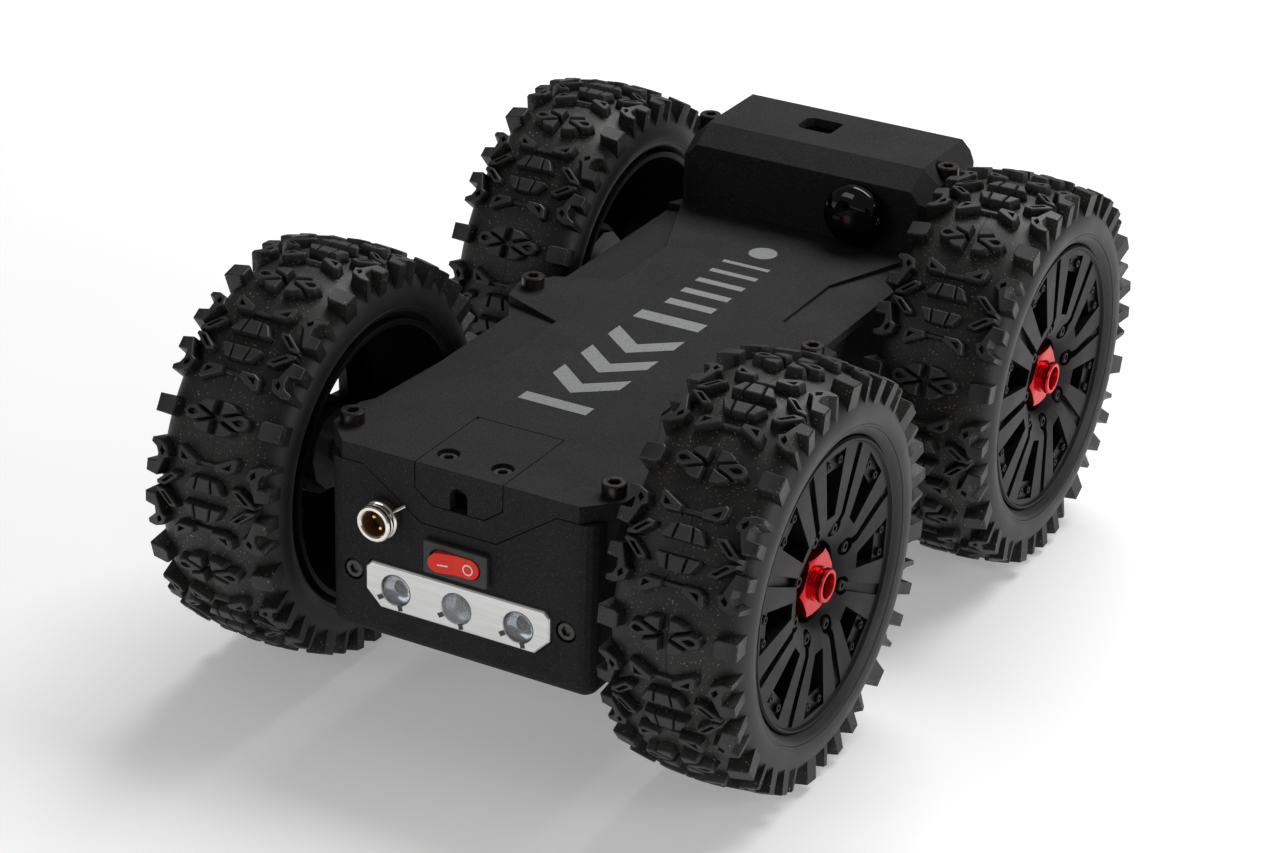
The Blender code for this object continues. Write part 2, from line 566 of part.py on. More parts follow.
def add_screws(mat):
    m4, m3 = (M4_HEAD, M4_HEIGHT, M4_SHANK, M4_SOCKET), (M3_HEAD, M3_HEIGHT, M3_SHANK, M3_SOCKET)
    short = screw_mesh("cover_screw", *m4, COVER_SCREW_LENGTH)
    long = screw_mesh("rear_screw", *m4, REAR_SCREW_LENGTH)
    small = screw_mesh("m3_screw", *m3, M3_LENGTH)
    upright = (("front", short, FRONT_SCREW), ("middle", short, MIDDLE_SCREW),
               ("rear", long, REAR_SCREW), ("hatch", small, HATCH_SCREW))
    for side, word in ((1, "right"), (-1, "left")):
        for name, mesh, (x, y, top) in upright:
            place(f"{name}_screw_{word}", mesh, mat, location=(side * x, y, top))
        place(f"lamp_bar_screw_{word}", small, mat, rotation=(math.radians(90), 0, 0),
              location=(side * BAR_SCREW_X, FRONT_Y + BAR_SCREW_SINK, BAR_SCREW_Z))


# --------------------------------------------------------------------------- front panel

def bar_outline(grow=0.0):
    """Front view of the lamp bar: small chamfers on top, larger ones below."""
    half, low, high = BAR_HALF + grow, BAR_LOW - grow, BAR_HIGH + grow
    big, small = BAR_LOW_CHAMFER, BAR_TOP_CHAMFER
    return [(-half + big, low), (half - big, low), (half, low + big), (half, high - small),
            (half - small, high), (-half + small, high), (-half, high - small), (-half, low + big)]


def lens_mesh(x):
    """A lens with a slightly raised front, reaching through the front wall."""
    rise, edge = -BAR_PROUD - 0.0004, -BAR_PROUD + 0.0004
    profile = [(0, rise), (LAMP_RADIUS * 0.75, rise + 0.0002), (LAMP_RADIUS, edge),
               (LAMP_RADIUS, FRONT_WALL), (0, FRONT_WALL)]
    bm = turned(profile, LAMP_SIDES, math.pi / 2)
    return finish_mesh(along_y(bm, (x, FRONT_Y, LAMP_Z)), "lamp_lens")


def add_lamps(metal, glass, board_mat):
    outer, inner = FRONT_Y - BAR_PROUD, FRONT_Y + BAR_SINK - GAP
    bar = place("lamp_bar", finish_mesh(prism(bar_outline(), outer, inner, "Y"), "lamp_bar"), metal)
    for x, word in ((-LAMP_X, "left"), (0, "middle"), (LAMP_X, "right")):
        hole = regular(LAMP_SIDES, LAMP_RADIUS + GAP, (x, LAMP_Z))
        shape(bar, prism(hole, outer - CUT, inner + CUT, "Y"), "lamp_hole")
        place(f"lamp_lens_{word}", lens_mesh(x), glass)
    back = FRONT_Y + FRONT_WALL + GAP
    bm = box((-LAMP_BOARD_HALF, back, LAMP_BOARD_LOW),
             (LAMP_BOARD_HALF, back + LAMP_BOARD_THICK, LAMP_BOARD_HIGH))
    board = place("lamp_board", finish_mesh(bm, "lamp_board"), board_mat)
    for side in (1, -1):
        hole = regular(SCREW_SIDES, M3_SHANK + HOLE_CLEARANCE, (side * BAR_SCREW_X, BAR_SCREW_Z))
        shape(board, prism(hole, back - CUT, back + LAMP_BOARD_THICK + CUT, "Y"), "screw_hole")


def pill(half_x, half_z, centre_z):
    """A round-ended outline in X and Z."""
    flat = half_x - half_z
    right = arc((flat, centre_z), half_z, -math.pi / 2, math.pi, ROUND_STEPS)
    left = arc((-flat, centre_z), half_z, math.pi / 2, math.pi, ROUND_STEPS)
    return right + left


def rocker_body():
    """The rocker's plan: a shallow V across its front, level before it is tilted."""
    half, rise = ROCKER_HALF_X, ROCKER_HALF_X * math.tan(ROCKER_TILT)
    plan = [(-half, ROCKER_BACK), (half, ROCKER_BACK), (half, ROCKER_CREASE - rise), (0, ROCKER_CREASE),
            (-half, ROCKER_CREASE - rise)]
    return prism(plan, -ROCKER_HALF_Z - 0.0005, ROCKER_HALF_Z + 0.0005)


def add_bezel(mat):
    """The switch's frame and body, with a round-ended pocket for the rocker."""
    front = FRONT_Y - BEZEL_PROUD
    flange = box((-BEZEL_HALF_X, front, SWITCH_Z - BEZEL_HALF_Z),
                 (BEZEL_HALF_X, FRONT_Y - GAP, SWITCH_Z + BEZEL_HALF_Z))
    bezel = place("switch_bezel", finish_mesh(flange, "switch_bezel"), mat)
    shape(bezel, box((-SWITCH_BODY_HALF_X, FRONT_Y - CUT, SWITCH_Z - SWITCH_BODY_HALF_Z),
                     (SWITCH_BODY_HALF_X, SWITCH_BODY_BACK, SWITCH_Z + SWITCH_BODY_HALF_Z)), "body", "UNION")
    pocket = pill(ROCKER_HALF_X + 2 * GAP, ROCKER_HALF_Z + GAP, SWITCH_Z)
    shape(bezel, prism(pocket, front - CUT, ROCKER_PIVOT_Y + ROCKER_POCKET_DEPTH, "Y"), "rocker_pocket")
    shape(bezel, prism(regular(8, PIN_HOLE, (0, ROCKER_PIVOT_Y)), SWITCH_Z - PIN_HOLE_HALF,
                       SWITCH_Z + PIN_HOLE_HALF), "pin_hole")


def add_rocker(mat):
    rocker = place("rocker_switch", finish_mesh(rocker_body(), "rocker_switch"), mat,
                   location=(0, ROCKER_PIVOT_Y, SWITCH_Z), rotation=(0, 0, ROCKER_TILT))
    ends = pill(ROCKER_HALF_X, ROCKER_HALF_Z, 0)
    shape(rocker, prism(ends, -0.0100, 0.0100, "Y"), "ends", "INTERSECT", rocker)
    shape(rocker, prism(regular(8, PIN_RADIUS), -PIN_HALF, PIN_HALF), "pin", "UNION", rocker)


def socket_profile():
    """Half section of the socket's shell, with y measured from the front wall."""
    front, lip, neck = SOCKET_FRONT_Y - FRONT_Y, -0.0036, -0.0030
    return [(SOCKET_BORE, front), (SOCKET_LIP, front), (SOCKET_LIP, lip), (SOCKET_NECK, lip + 0.0002),
            (SOCKET_NECK, neck), (SOCKET_COLLAR, neck + 0.0002), (SOCKET_COLLAR, -GAP),
            (SOCKET_THREAD, -GAP), (SOCKET_THREAD, SOCKET_TAIL), (SOCKET_TAIL_BORE, SOCKET_TAIL),
            (SOCKET_TAIL_BORE, INSERT_BACK + 0.0006), (SOCKET_BORE, INSERT_BACK + 0.0002)]


def add_socket(nickel, bronze):
    """Round threaded power socket with its lock nut and contact insert."""
    centre = (SOCKET_X, FRONT_Y, SOCKET_Z)
    shell = along_y(turned(socket_profile(), 16, math.pi / 2), centre)
    place("socket_shell", finish_mesh(shell, "socket_shell"), nickel)
    inner = FRONT_Y + FRONT_WALL + GAP
    bm = prism(regular(6, SOCKET_NUT_RADIUS, (SOCKET_X, SOCKET_Z)), inner, inner + SOCKET_NUT_THICK, "Y")
    nut = place("socket_nut", finish_mesh(bm, "socket_nut"), nickel)
    bore = regular(16, SOCKET_HOLE, (SOCKET_X, SOCKET_Z))
    shape(nut, prism(bore, inner - CUT, inner + SOCKET_NUT_THICK + CUT, "Y"), "bore")
    face = FRONT_Y + 0.0005
    bm = prism(regular(16, INSERT_RADIUS, (SOCKET_X, SOCKET_Z)), face, FRONT_Y + INSERT_BACK, "Y")
    insert = place("socket_insert", finish_mesh(bm, "socket_insert"), bronze)
    for side in (1, -1):
        pin = regular(8, CONTACT_RADIUS, (SOCKET_X + side * CONTACT_OFFSET, SOCKET_Z - side * CONTACT_OFFSET))
        shape(insert, prism(pin, face - CONTACT_LENGTH, face + CUT, "Y"), "pin", "UNION")


# --------------------------------------------------------------------------- camera

def add_camera(glass, black):
    """A wide-angle lens with a shallow dome, and the barrel behind the housing's wall."""
    centre = (CAMERA_X, 0, CAMERA_Z)
    rise = CAMERA_RIM_Y - CAMERA_TIP_Y
    steps = [math.pi / 2 * i / 5 for i in range(6)]
    dome = [(CAMERA_RADIUS * math.sin(a), CAMERA_RIM_Y - rise * math.cos(a)) for a in steps]
    dome += [(CAMERA_RADIUS, CAMERA_BACK_Y - 0.0006), (CAMERA_STEM, CAMERA_BACK_Y),
             (CAMERA_STEM, HOUSING_Y + WALL), (0, HOUSING_Y + WALL)]
    bm = along_y(turned(dome, 24, math.pi / 2), centre)
    place("camera_dome", finish_mesh(bm, "camera_dome"), glass)
    start = HOUSING_Y + WALL + GAP
    step, end = start + BARREL_STEP, start + BARREL_LENGTH
    barrel = [(0, start), (BARREL_RADIUS, start), (BARREL_RADIUS, step), (BARREL_NECK, step),
              (BARREL_NECK, end), (0, end)]
    bm = along_y(turned(barrel, 16, math.pi / 2), centre)
    place("camera_barrel", finish_mesh(bm, "camera_barrel"), black)


# --------------------------------------------------------------------------- inside

def add_battery(mat, bottom):
    pack = slab(BATTERY_LOW, BATTERY_HIGH, bottom, bottom + BATTERY_HEIGHT)
    bmesh.ops.bevel(pack, geom=list(pack.edges), offset=BATTERY_CHAMFER, segments=1, affect="EDGES")
    place("battery_pack", finish_mesh(pack, "battery_pack"), mat)


def add_board(mat, battery_top):
    """The control board on four posts over the battery, with a heat sink and terminals."""
    under = battery_top + BOARD_LIFT
    top = under + BOARD_THICK
    board = place("control_board", finish_mesh(slab(BOARD_LOW, BOARD_HIGH, under, top), "control_board"), mat)
    for x in (BOARD_LOW[0] + POST_INSET, BOARD_HIGH[0] - POST_INSET):
        for y in (BOARD_LOW[1] + POST_INSET, BOARD_HIGH[1] - POST_INSET):
            post = prism(regular(6, POST_RADIUS, (x, y)), battery_top + GAP, under + BOARD_THICK / 2)
            shape(board, post, "post", "UNION")
    root = under + BOARD_THICK / 2
    shape(board, slab(HEAT_SINK_LOW, HEAT_SINK_HIGH, root, top + HEAT_SINK_HEIGHT), "heat_sink", "UNION")
    shape(board, slab(TERMINALS_LOW, TERMINALS_HIGH, root, top + TERMINALS_HEIGHT), "terminals", "UNION")


def add_drives(can, steel):
    """A gearmotor and a bearing for each wheel."""
    bore, bore_end = AXLE_RADIUS + GAP, AXLE_INNER_X - GAP
    motor = [(0, MOTOR_START), (MOTOR_RADIUS, MOTOR_START), (GEARBOX_RADIUS, GEARBOX_START),
             (GEARBOX_RADIUS, MOTOR_END), (bore, MOTOR_END), (bore, bore_end), (0, bore_end)]
    seat, lip = TUB_HALF + GAP, TUB_HALF + GAP + BEARING_FLANGE_THICK
    bearing = [(BEARING_BORE, BEARING_START), (BEARING_RADIUS, BEARING_START), (BEARING_RADIUS, seat),
               (BEARING_FLANGE, seat), (BEARING_FLANGE, lip), (BEARING_BORE, lip)]
    motor_mesh = finish_mesh(turned(motor, 16, math.pi / 2), "gearmotor")
    bearing_mesh = finish_mesh(turned(bearing, 12, math.pi / 2), "axle_bearing")
    for name, side, y in CORNERS:
        turn = (0, 0, 0 if side > 0 else math.pi)
        place(f"{name}_gearmotor", motor_mesh, can, location=(0, y, AXLE_Z), rotation=turn)
        place(f"{name}_axle_bearing", bearing_mesh, steel, location=(0, y, AXLE_Z), rotation=turn)


# --------------------------------------------------------------------------- wheels

def tyre_profile():
    """Half section of the tyre as a closed list of (radius, x) points."""
    half, bead = TYRE_HALF_WIDTH, BEAD_RADIUS
    right = [(bead, half - 0.0061), (bead, half - 0.0019), (0.0490, half), (0.0560, 0.0172),
             (CARCASS_RADIUS, TREAD_HALF_WIDTH)]
    left = [(radius, -x) for radius, x in reversed(right)]
    return right + left + [(radius, -x) for radius, x in reversed(TYRE_CAVITY)] + list(TYRE_CAVITY)


def tyre_mesh():
    """A hollow tyre, open to its rim, with raised lugs around the tread."""
    bm = turned(tyre_profile(), TYRE_SIDES, math.pi / TYRE_SIDES)
    bmesh.ops.recalc_face_normals(bm, faces=bm.faces)
    centre, shoulder = [], []
    for face in bm.faces:
        middle = face.calc_center_median()
        radius = math.hypot(middle.y, middle.z)
        step = round((math.atan2(middle.z, middle.y) + math.pi / 2) / (math.tau / TYRE_SIDES))
        if radius > 0.0565 and abs(middle.x) < 0.0010 and step % 2 == 0:
            centre.append(face)
        elif radius > 0.0550 and 0.0100 < abs(middle.x) < 0.0160 and step % 2 == 1:
            shoulder.append(face)
    flat = CARCASS_RADIUS * math.cos(math.pi / TYRE_SIDES)
    bmesh.ops.inset_individual(bm, faces=centre, thickness=LUG_TAPER, depth=AXLE_Z - flat)
    bmesh.ops.inset_individual(bm, faces=shoulder, thickness=LUG_TAPER, depth=SHOULDER_LUG_HEIGHT)
    return finish_mesh(bm, "tyre")


def foam_mesh():
    """Foam ring that fills the tyre."""
    inner = RIM_RADIUS + 0.0007
    side = [(inner, 0.0132), (0.0460, 0.0166), (0.0529, 0.0134)]
    profile = [(radius, -x) for radius, x in side] + side[::-1]
    return finish_mesh(turned(profile, RIM_SIDES), "foam_insert")


def rim_profile():
    """Half section of the rim: flange, dished face, nut pocket, hub and barrel."""
    seat, bore = NUT_SEAT - GAP, STUB_RADIUS + GAP
    return [(RIM_RADIUS, RIM_OUTER), (0.0406, RIM_OUTER), (0.0396, RIM_FACE),
            (WINDOW_INNER - 0.0004, RIM_FACE), (0.0135, 0.0164), (NUT_POCKET, seat), (bore, seat),
            (bore, HUB_BACK), (HUB_RADIUS, HUB_BACK), (HUB_RADIUS + 0.0005, SPOKE_BACK),
            (0.0380, SPOKE_BACK), (RIM_BARREL, RIM_INNER), (RIM_RADIUS, RIM_INNER)]


def add_rim(name, mat, axle):
    """One rim: barrel, dished face, hub with a hexagon socket, and eight windows."""
    turn = math.radians(RIM_TURN[name])
    mesh = finish_mesh(turned(rim_profile(), RIM_SIDES), "rim")
    rim = place(f"{name}_rim", mesh, mat, parent=axle, rotation=(turn, 0, 0))
    pocket = regular(6, HEX_RADIUS + GAP / math.cos(math.pi / 6), turn=-turn)
    shape(rim, prism(pocket, HUB_BACK - CUT, HUB_FRONT + GAP, "X"), "hex_socket", parent=rim)
    low, high = (WINDOW_INNER, WINDOW_INNER_HALF), (WINDOW_OUTER, WINDOW_OUTER_HALF)
    outline = [(low[0], -low[1]), (high[0], -high[1]), high, low]
    for i in range(WINDOWS):
        window = prism(outline, SPOKE_BACK - 2 * CUT, RIM_FACE + 2 * CUT, "X")
        window.transform(Matrix.Rotation(math.tau * i / WINDOWS, 4, "X"))
        shape(rim, window, f"window_{i}", parent=rim)


def add_hub(name, mat, axle):
    """Hexagon drive hub: back flange, hexagon and threaded stub on one bore."""
    hexagon = prism(regular(6, HEX_RADIUS), HUB_BACK - CUT, HUB_FRONT, "X")
    hub = place(f"{name}_drive_hub", finish_mesh(hexagon, "drive_hub"), mat, parent=axle)
    flange = prism(regular(12, FLANGE_RADIUS), FLANGE_BACK, HUB_BACK - GAP, "X")
    shape(hub, flange, "flange", "UNION", axle)
    shape(hub, prism(regular(12, STUB_RADIUS), HUB_FRONT - CUT, STUB_END, "X"), "stub", "UNION", axle)
    shape(hub, prism(regular(12, AXLE_RADIUS + GAP), FLANGE_BACK - CUT, STUB_END + CUT, "X"), "bore",
          parent=axle)


def add_nut(name, mat, axle):
    """Wheel nut: a hexagon with a round collar and a through hole."""
    bm = prism(regular(6, HEX_RADIUS), NUT_SEAT, NUT_FACE, "X")
    nut = place(f"{name}_wheel_nut", finish_mesh(bm, "wheel_nut"), mat, parent=axle)
    shape(nut, prism(regular(16, COLLAR_RADIUS), NUT_FACE - CUT, NUT_END, "X"), "collar", "UNION", axle)
    shape(nut, prism(regular(12, STUB_RADIUS + GAP), NUT_SEAT - CUT, STUB_END + GAP, "X"), "thread",
          parent=axle)
    shape(nut, prism(regular(12, COLLAR_HOLE), NUT_SEAT, NUT_END + CUT, "X"), "hole", parent=axle)


def add_wheels(mats):
    tyre, foam = tyre_mesh(), foam_mesh()
    shaft = prism(regular(SCREW_SIDES, AXLE_RADIUS), AXLE_INNER_X - TYRE_X, AXLE_OUTER_X - TYRE_X, "X")
    shaft_mesh = finish_mesh(shaft, "axle")
    for name, side, y in CORNERS:
        axle = bpy.data.objects.new(f"{name}_wheel_centre", None)
        bpy.context.collection.objects.link(axle)
        axle.location = (side * TYRE_X, y, AXLE_Z)
        axle.rotation_euler = (0, 0, 0 if side > 0 else math.pi)
        place(f"{name}_tyre", tyre, mats["rubber"], parent=axle)
        place(f"{name}_foam_insert", foam, mats["foam"], parent=axle)
        add_rim(name, mats["rim"], axle)
        add_hub(name, mats["steel"], axle)
        add_nut(name, mats["red_metal"], axle)
        place(f"{name}_axle", shaft_mesh, mats["steel"], parent=axle)


def add_electronics(board, steel):
    floor = TUB_BOTTOM + WALL + GAP
    add_battery(material("battery_wrap", (0.03, 0.10, 0.35), 0.4), floor)
    add_board(board, floor + BATTERY_HEIGHT)
    add_drives(material("motor_can", (0.45, 0.45, 0.46), 0.35, 1.0), steel)


def add_front_panel(board):
    add_lamps(material("lamp_aluminium", (0.85, 0.85, 0.86), 0.3, 1.0),
              material("lamp_glass", (0.85, 0.88, 0.90), 0.08), board)
    add_bezel(material("switch_grey", (0.05, 0.05, 0.055), 0.5))
    add_rocker(material("switch_red", (0.75, 0.03, 0.01), 0.35))
    add_socket(material("socket_nickel", (0.75, 0.72, 0.66), 0.2, 1.0),
               material("socket_bronze", (0.45, 0.30, 0.14), 0.4, 0.8))


def main():
    clear_scene()
    body = material("body_nylon", (0.022, 0.022, 0.024), 0.75)
    board = material("circuit_board", (0.02, 0.12, 0.05), 0.5)
    steel = material("bright_steel", (0.55, 0.55, 0.56), 0.35, 1.0)
    add_tub(body)
    add_cover(body)
    add_hatch(body)
    add_screws(material("black_steel", (0.035, 0.030, 0.028), 0.45, 0.8))
    add_front_panel(board)
    add_camera(material("camera_glass", (0.01, 0.01, 0.012), 0.05),
               material("camera_black", (0.02, 0.02, 0.02), 0.5))
    add_electronics(board, steel)
    add_wheels({"rubber": material("tyre_rubber", (0.018, 0.018, 0.018), 0.85),
                "foam": material("tyre_foam", (0.30, 0.30, 0.28), 0.95),
                "rim": material("rim_plastic", (0.020, 0.020, 0.022), 0.45), "steel": steel,
                "red_metal": material("red_anodised", (0.65, 0.010, 0.020), 0.25, 1.0)})


main()
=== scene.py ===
"""Looks of the four wheel robot chassis: materials, sculpted tyres, spoked rims and front fittings.

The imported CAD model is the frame. Lengths are in metres unless a name ends in _MM, angles in degrees where
a name ends in _DEG or _PHASE. -Y is the front, +Z is up.
"""

import json
import math

import bmesh
import bpy
from mathutils import Matrix, Vector
from mathutils.geometry import tessellate_polygon


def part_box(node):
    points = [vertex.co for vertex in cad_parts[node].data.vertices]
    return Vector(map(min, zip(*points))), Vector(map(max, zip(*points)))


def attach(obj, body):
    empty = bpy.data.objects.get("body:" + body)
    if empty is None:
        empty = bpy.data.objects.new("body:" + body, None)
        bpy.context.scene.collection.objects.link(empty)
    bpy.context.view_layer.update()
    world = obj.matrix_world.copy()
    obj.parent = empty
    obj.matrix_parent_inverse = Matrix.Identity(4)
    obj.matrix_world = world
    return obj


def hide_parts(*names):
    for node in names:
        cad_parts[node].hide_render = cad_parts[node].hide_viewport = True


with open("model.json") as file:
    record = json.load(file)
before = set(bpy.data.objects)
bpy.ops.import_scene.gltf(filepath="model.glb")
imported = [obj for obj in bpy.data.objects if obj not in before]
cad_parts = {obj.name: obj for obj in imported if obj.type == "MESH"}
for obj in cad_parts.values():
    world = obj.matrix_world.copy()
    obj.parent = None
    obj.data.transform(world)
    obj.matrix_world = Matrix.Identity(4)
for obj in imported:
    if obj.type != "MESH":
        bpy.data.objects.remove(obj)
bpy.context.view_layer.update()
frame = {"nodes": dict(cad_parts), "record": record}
NODES = frame["nodes"]
MM = 0.001
CORNERS = ("front_right", "front_left", "rear_right", "rear_left")
TOUCH = 1e-7                 # closer points than this are one point

# Tyre section: half width and radius of the carcass, from crown to bead
CARCASS_MM = ((0, 57.5), (6, 57.35), (10.5, 56.9), (14, 56.0), (16.6, 54.7), (18.6, 52.9), (19.9, 50.6),
              (20.4, 48.2), (20.2, 45.9), (19.4, 44.0), (18.3, 42.9), (17.6, 42.25))
TREAD_RADIUS_MM = 60.0       # tread outlines are laid out on a drum of this radius
TREAD_TOP_MM = 60.5
TREAD_CROWN = 0.0052         # drop of the lug tops per square millimetre from the middle
TREAD_PERIODS = 8
CHAMFER_MM = 0.28
DRAFT_MM = 0.55              # how much wider a lug is at its foot, on each side
ROOT_MM = 0.7                # how deep a lug is rooted in the carcass
ROOT_HALF_WIDTH_MM = 19.6
PIT_DEPTH_MM = 1.7
CARCASS_SIDES, RIM_SIDES = 160, 144
TREAD_PHASE = {"front_right": 37.6, "front_left": 15.2, "rear_right": 28.3, "rear_left": 18.4}
RIM_PHASE = {"front_right": -4.0, "front_left": 38.0, "rear_right": 24.15, "rear_left": 18.0}


# ------------------------------------------------------- mesh helpers

def to_mesh(bm, name, sharp_deg=None):
    """Turns a bmesh into a mesh with outward normals."""
    bmesh.ops.recalc_face_normals(bm, faces=bm.faces)
    if bm.calc_volume(signed=True) < 0:
        bmesh.ops.reverse_faces(bm, faces=bm.faces)
    mesh = bpy.data.meshes.new(name)
    bm.to_mesh(mesh)
    bm.free()
    mesh.shade_smooth()
    if sharp_deg is not None:
        mesh.set_sharp_from_angle(angle=math.radians(sharp_deg))
    return mesh


PUT = {"X": lambda u, v, w: (w, u, v), "Y": lambda u, v, w: (u, w, v), "Z": lambda u, v, w: (u, v, w)}


def loft(layers, axis="X"):
    """A closed body through (outline, height) layers. Points are (y, z), (x, z) or (x, y)."""
    bm = bmesh.new()
    rings = [[bm.verts.new(PUT[axis](u, v, height)) for u, v in outline] for outline, height in layers]
    bm.faces.new(rings[0])
    bm.faces.new(rings[-1])
    for one, two in zip(rings, rings[1:]):
        for i in range(len(one)):
            bm.faces.new((one[i - 1], one[i], two[i], two[i - 1]))
    bmesh.ops.recalc_face_normals(bm, faces=bm.faces)
    return bm


def prism(outline, low, high, axis="X"):
    return loft(((outline, low), (outline, high)), axis)


def rounded(half_u, half_v, radius, centre=(0, 0), steps=6):
    """A rectangle with round corners."""
    points = []
    for quarter, (su, sv) in enumerate(((1, 1), (-1, 1), (-1, -1), (1, -1))):
        for i in range(steps + 1):
            angle = math.pi / 2 * (quarter + i / steps)
            points.append((centre[0] + su * (half_u - radius) + radius * math.cos(angle),
                           centre[1] + sv * (half_v - radius) + radius * math.sin(angle)))
    return [p for i, p in enumerate(points) if math.dist(p, points[i - 1]) > TOUCH]


def facing_front(bm, x, z):
    """Points a piece made about +X out of the front, through (x, z)."""
    bm.transform(Matrix.Translation((x, 0, z)) @ Matrix.Rotation(math.radians(-90), 4, "Z"))
    return bm


def regular(sides, radius, centre=(0, 0), turn=0.0):
    return [(centre[0] + radius * math.cos(turn + math.tau * i / sides),
             centre[1] + radius * math.sin(turn + math.tau * i / sides)) for i in range(sides)]


def turned(profile, sides):
    """A closed solid of revolution about X from (radius, x) points. A radius of 0 closes on the axis."""
    bm = bmesh.new()
    rings = []
    for radius, x in profile:
        if radius < TOUCH:
            rings.append([bm.verts.new((x, 0, 0))])
        else:
            rings.append([bm.verts.new((x, radius * math.cos(a), radius * math.sin(a)))
                          for a in (math.tau * i / sides for i in range(sides))])
    closed = profile[0][0] > TOUCH
    pairs = list(zip(rings, rings[1:])) + ([(rings[-1], rings[0])] if closed else [])
    for one, two in pairs:
        for i in range(sides):
            j = (i + 1) % sides
            corners = (one[i % len(one)], one[j % len(one)], two[j % len(two)], two[i % len(two)])
            unique = list(dict.fromkeys(corners))
            if len(unique) > 2:
                bm.faces.new(unique)
    bmesh.ops.recalc_face_normals(bm, faces=bm.faces)
    return bm


def merged(parts):
    """One bmesh that holds several, which it frees."""
    bm = bmesh.new()
    for part in parts:
        mesh = bpy.data.meshes.new("part")
        part.to_mesh(mesh)
        part.free()
        bm.from_mesh(mesh)
        bpy.data.meshes.remove(mesh)
    return bm


def around(bm_maker, count):
    """Copies a piece about the X axis."""
    parts = []
    for i in range(count):
        bm = bm_maker()
        bm.transform(Matrix.Rotation(math.tau * i / count, 4, "X"))
        parts.append(bm)
    return merged(parts)


def boolean(base, other, operation="DIFFERENCE"):
    """The Boolean of two closed bmeshes, which it frees, as a new one."""
    objects = []
    for bm, name in ((base, "bool_base"), (other, "bool_other")):
        obj = bpy.data.objects.new(name, to_mesh(bm, name))
        bpy.context.scene.collection.objects.link(obj)
        objects.append(obj)
    modifier = objects[0].modifiers.new("cut", "BOOLEAN")
    modifier.object = objects[1]
    modifier.operation = operation
    modifier.solver = "MANIFOLD"
    graph = bpy.context.evaluated_depsgraph_get()
    mesh = bpy.data.meshes.new_from_object(objects[0].evaluated_get(graph))
    result = bmesh.new()
    result.from_mesh(mesh)
    for obj in objects:
        bpy.data.meshes.remove(obj.data)
    bpy.data.meshes.remove(mesh)
    bmesh.ops.remove_doubles(result, verts=result.verts, dist=TOUCH)
    bmesh.ops.dissolve_degenerate(result, edges=result.edges, dist=TOUCH)
    return result


def flatten(bm, degrees=0.5):
    """Joins faces that lie in one plane."""
    bmesh.ops.dissolve_limit(bm, angle_limit=math.radians(degrees), verts=bm.verts, edges=bm.edges)
    return bm


def piece(name, mesh, mat, body, replaces=(), location=(0, 0, 0), rotation=(0, 0, 0)):
    """Links a piece, gives it its material and lets it ride on a body."""
    obj = bpy.data.objects.new(name, mesh)
    bpy.context.scene.collection.objects.link(obj)
    obj.location = location
    obj.rotation_euler = rotation
    if not mesh.materials:
        mesh.materials.append(mat)
    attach(obj, body)
    if replaces:
        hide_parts(*replaces)
    return obj


# ------------------------------------------------------- material helpers

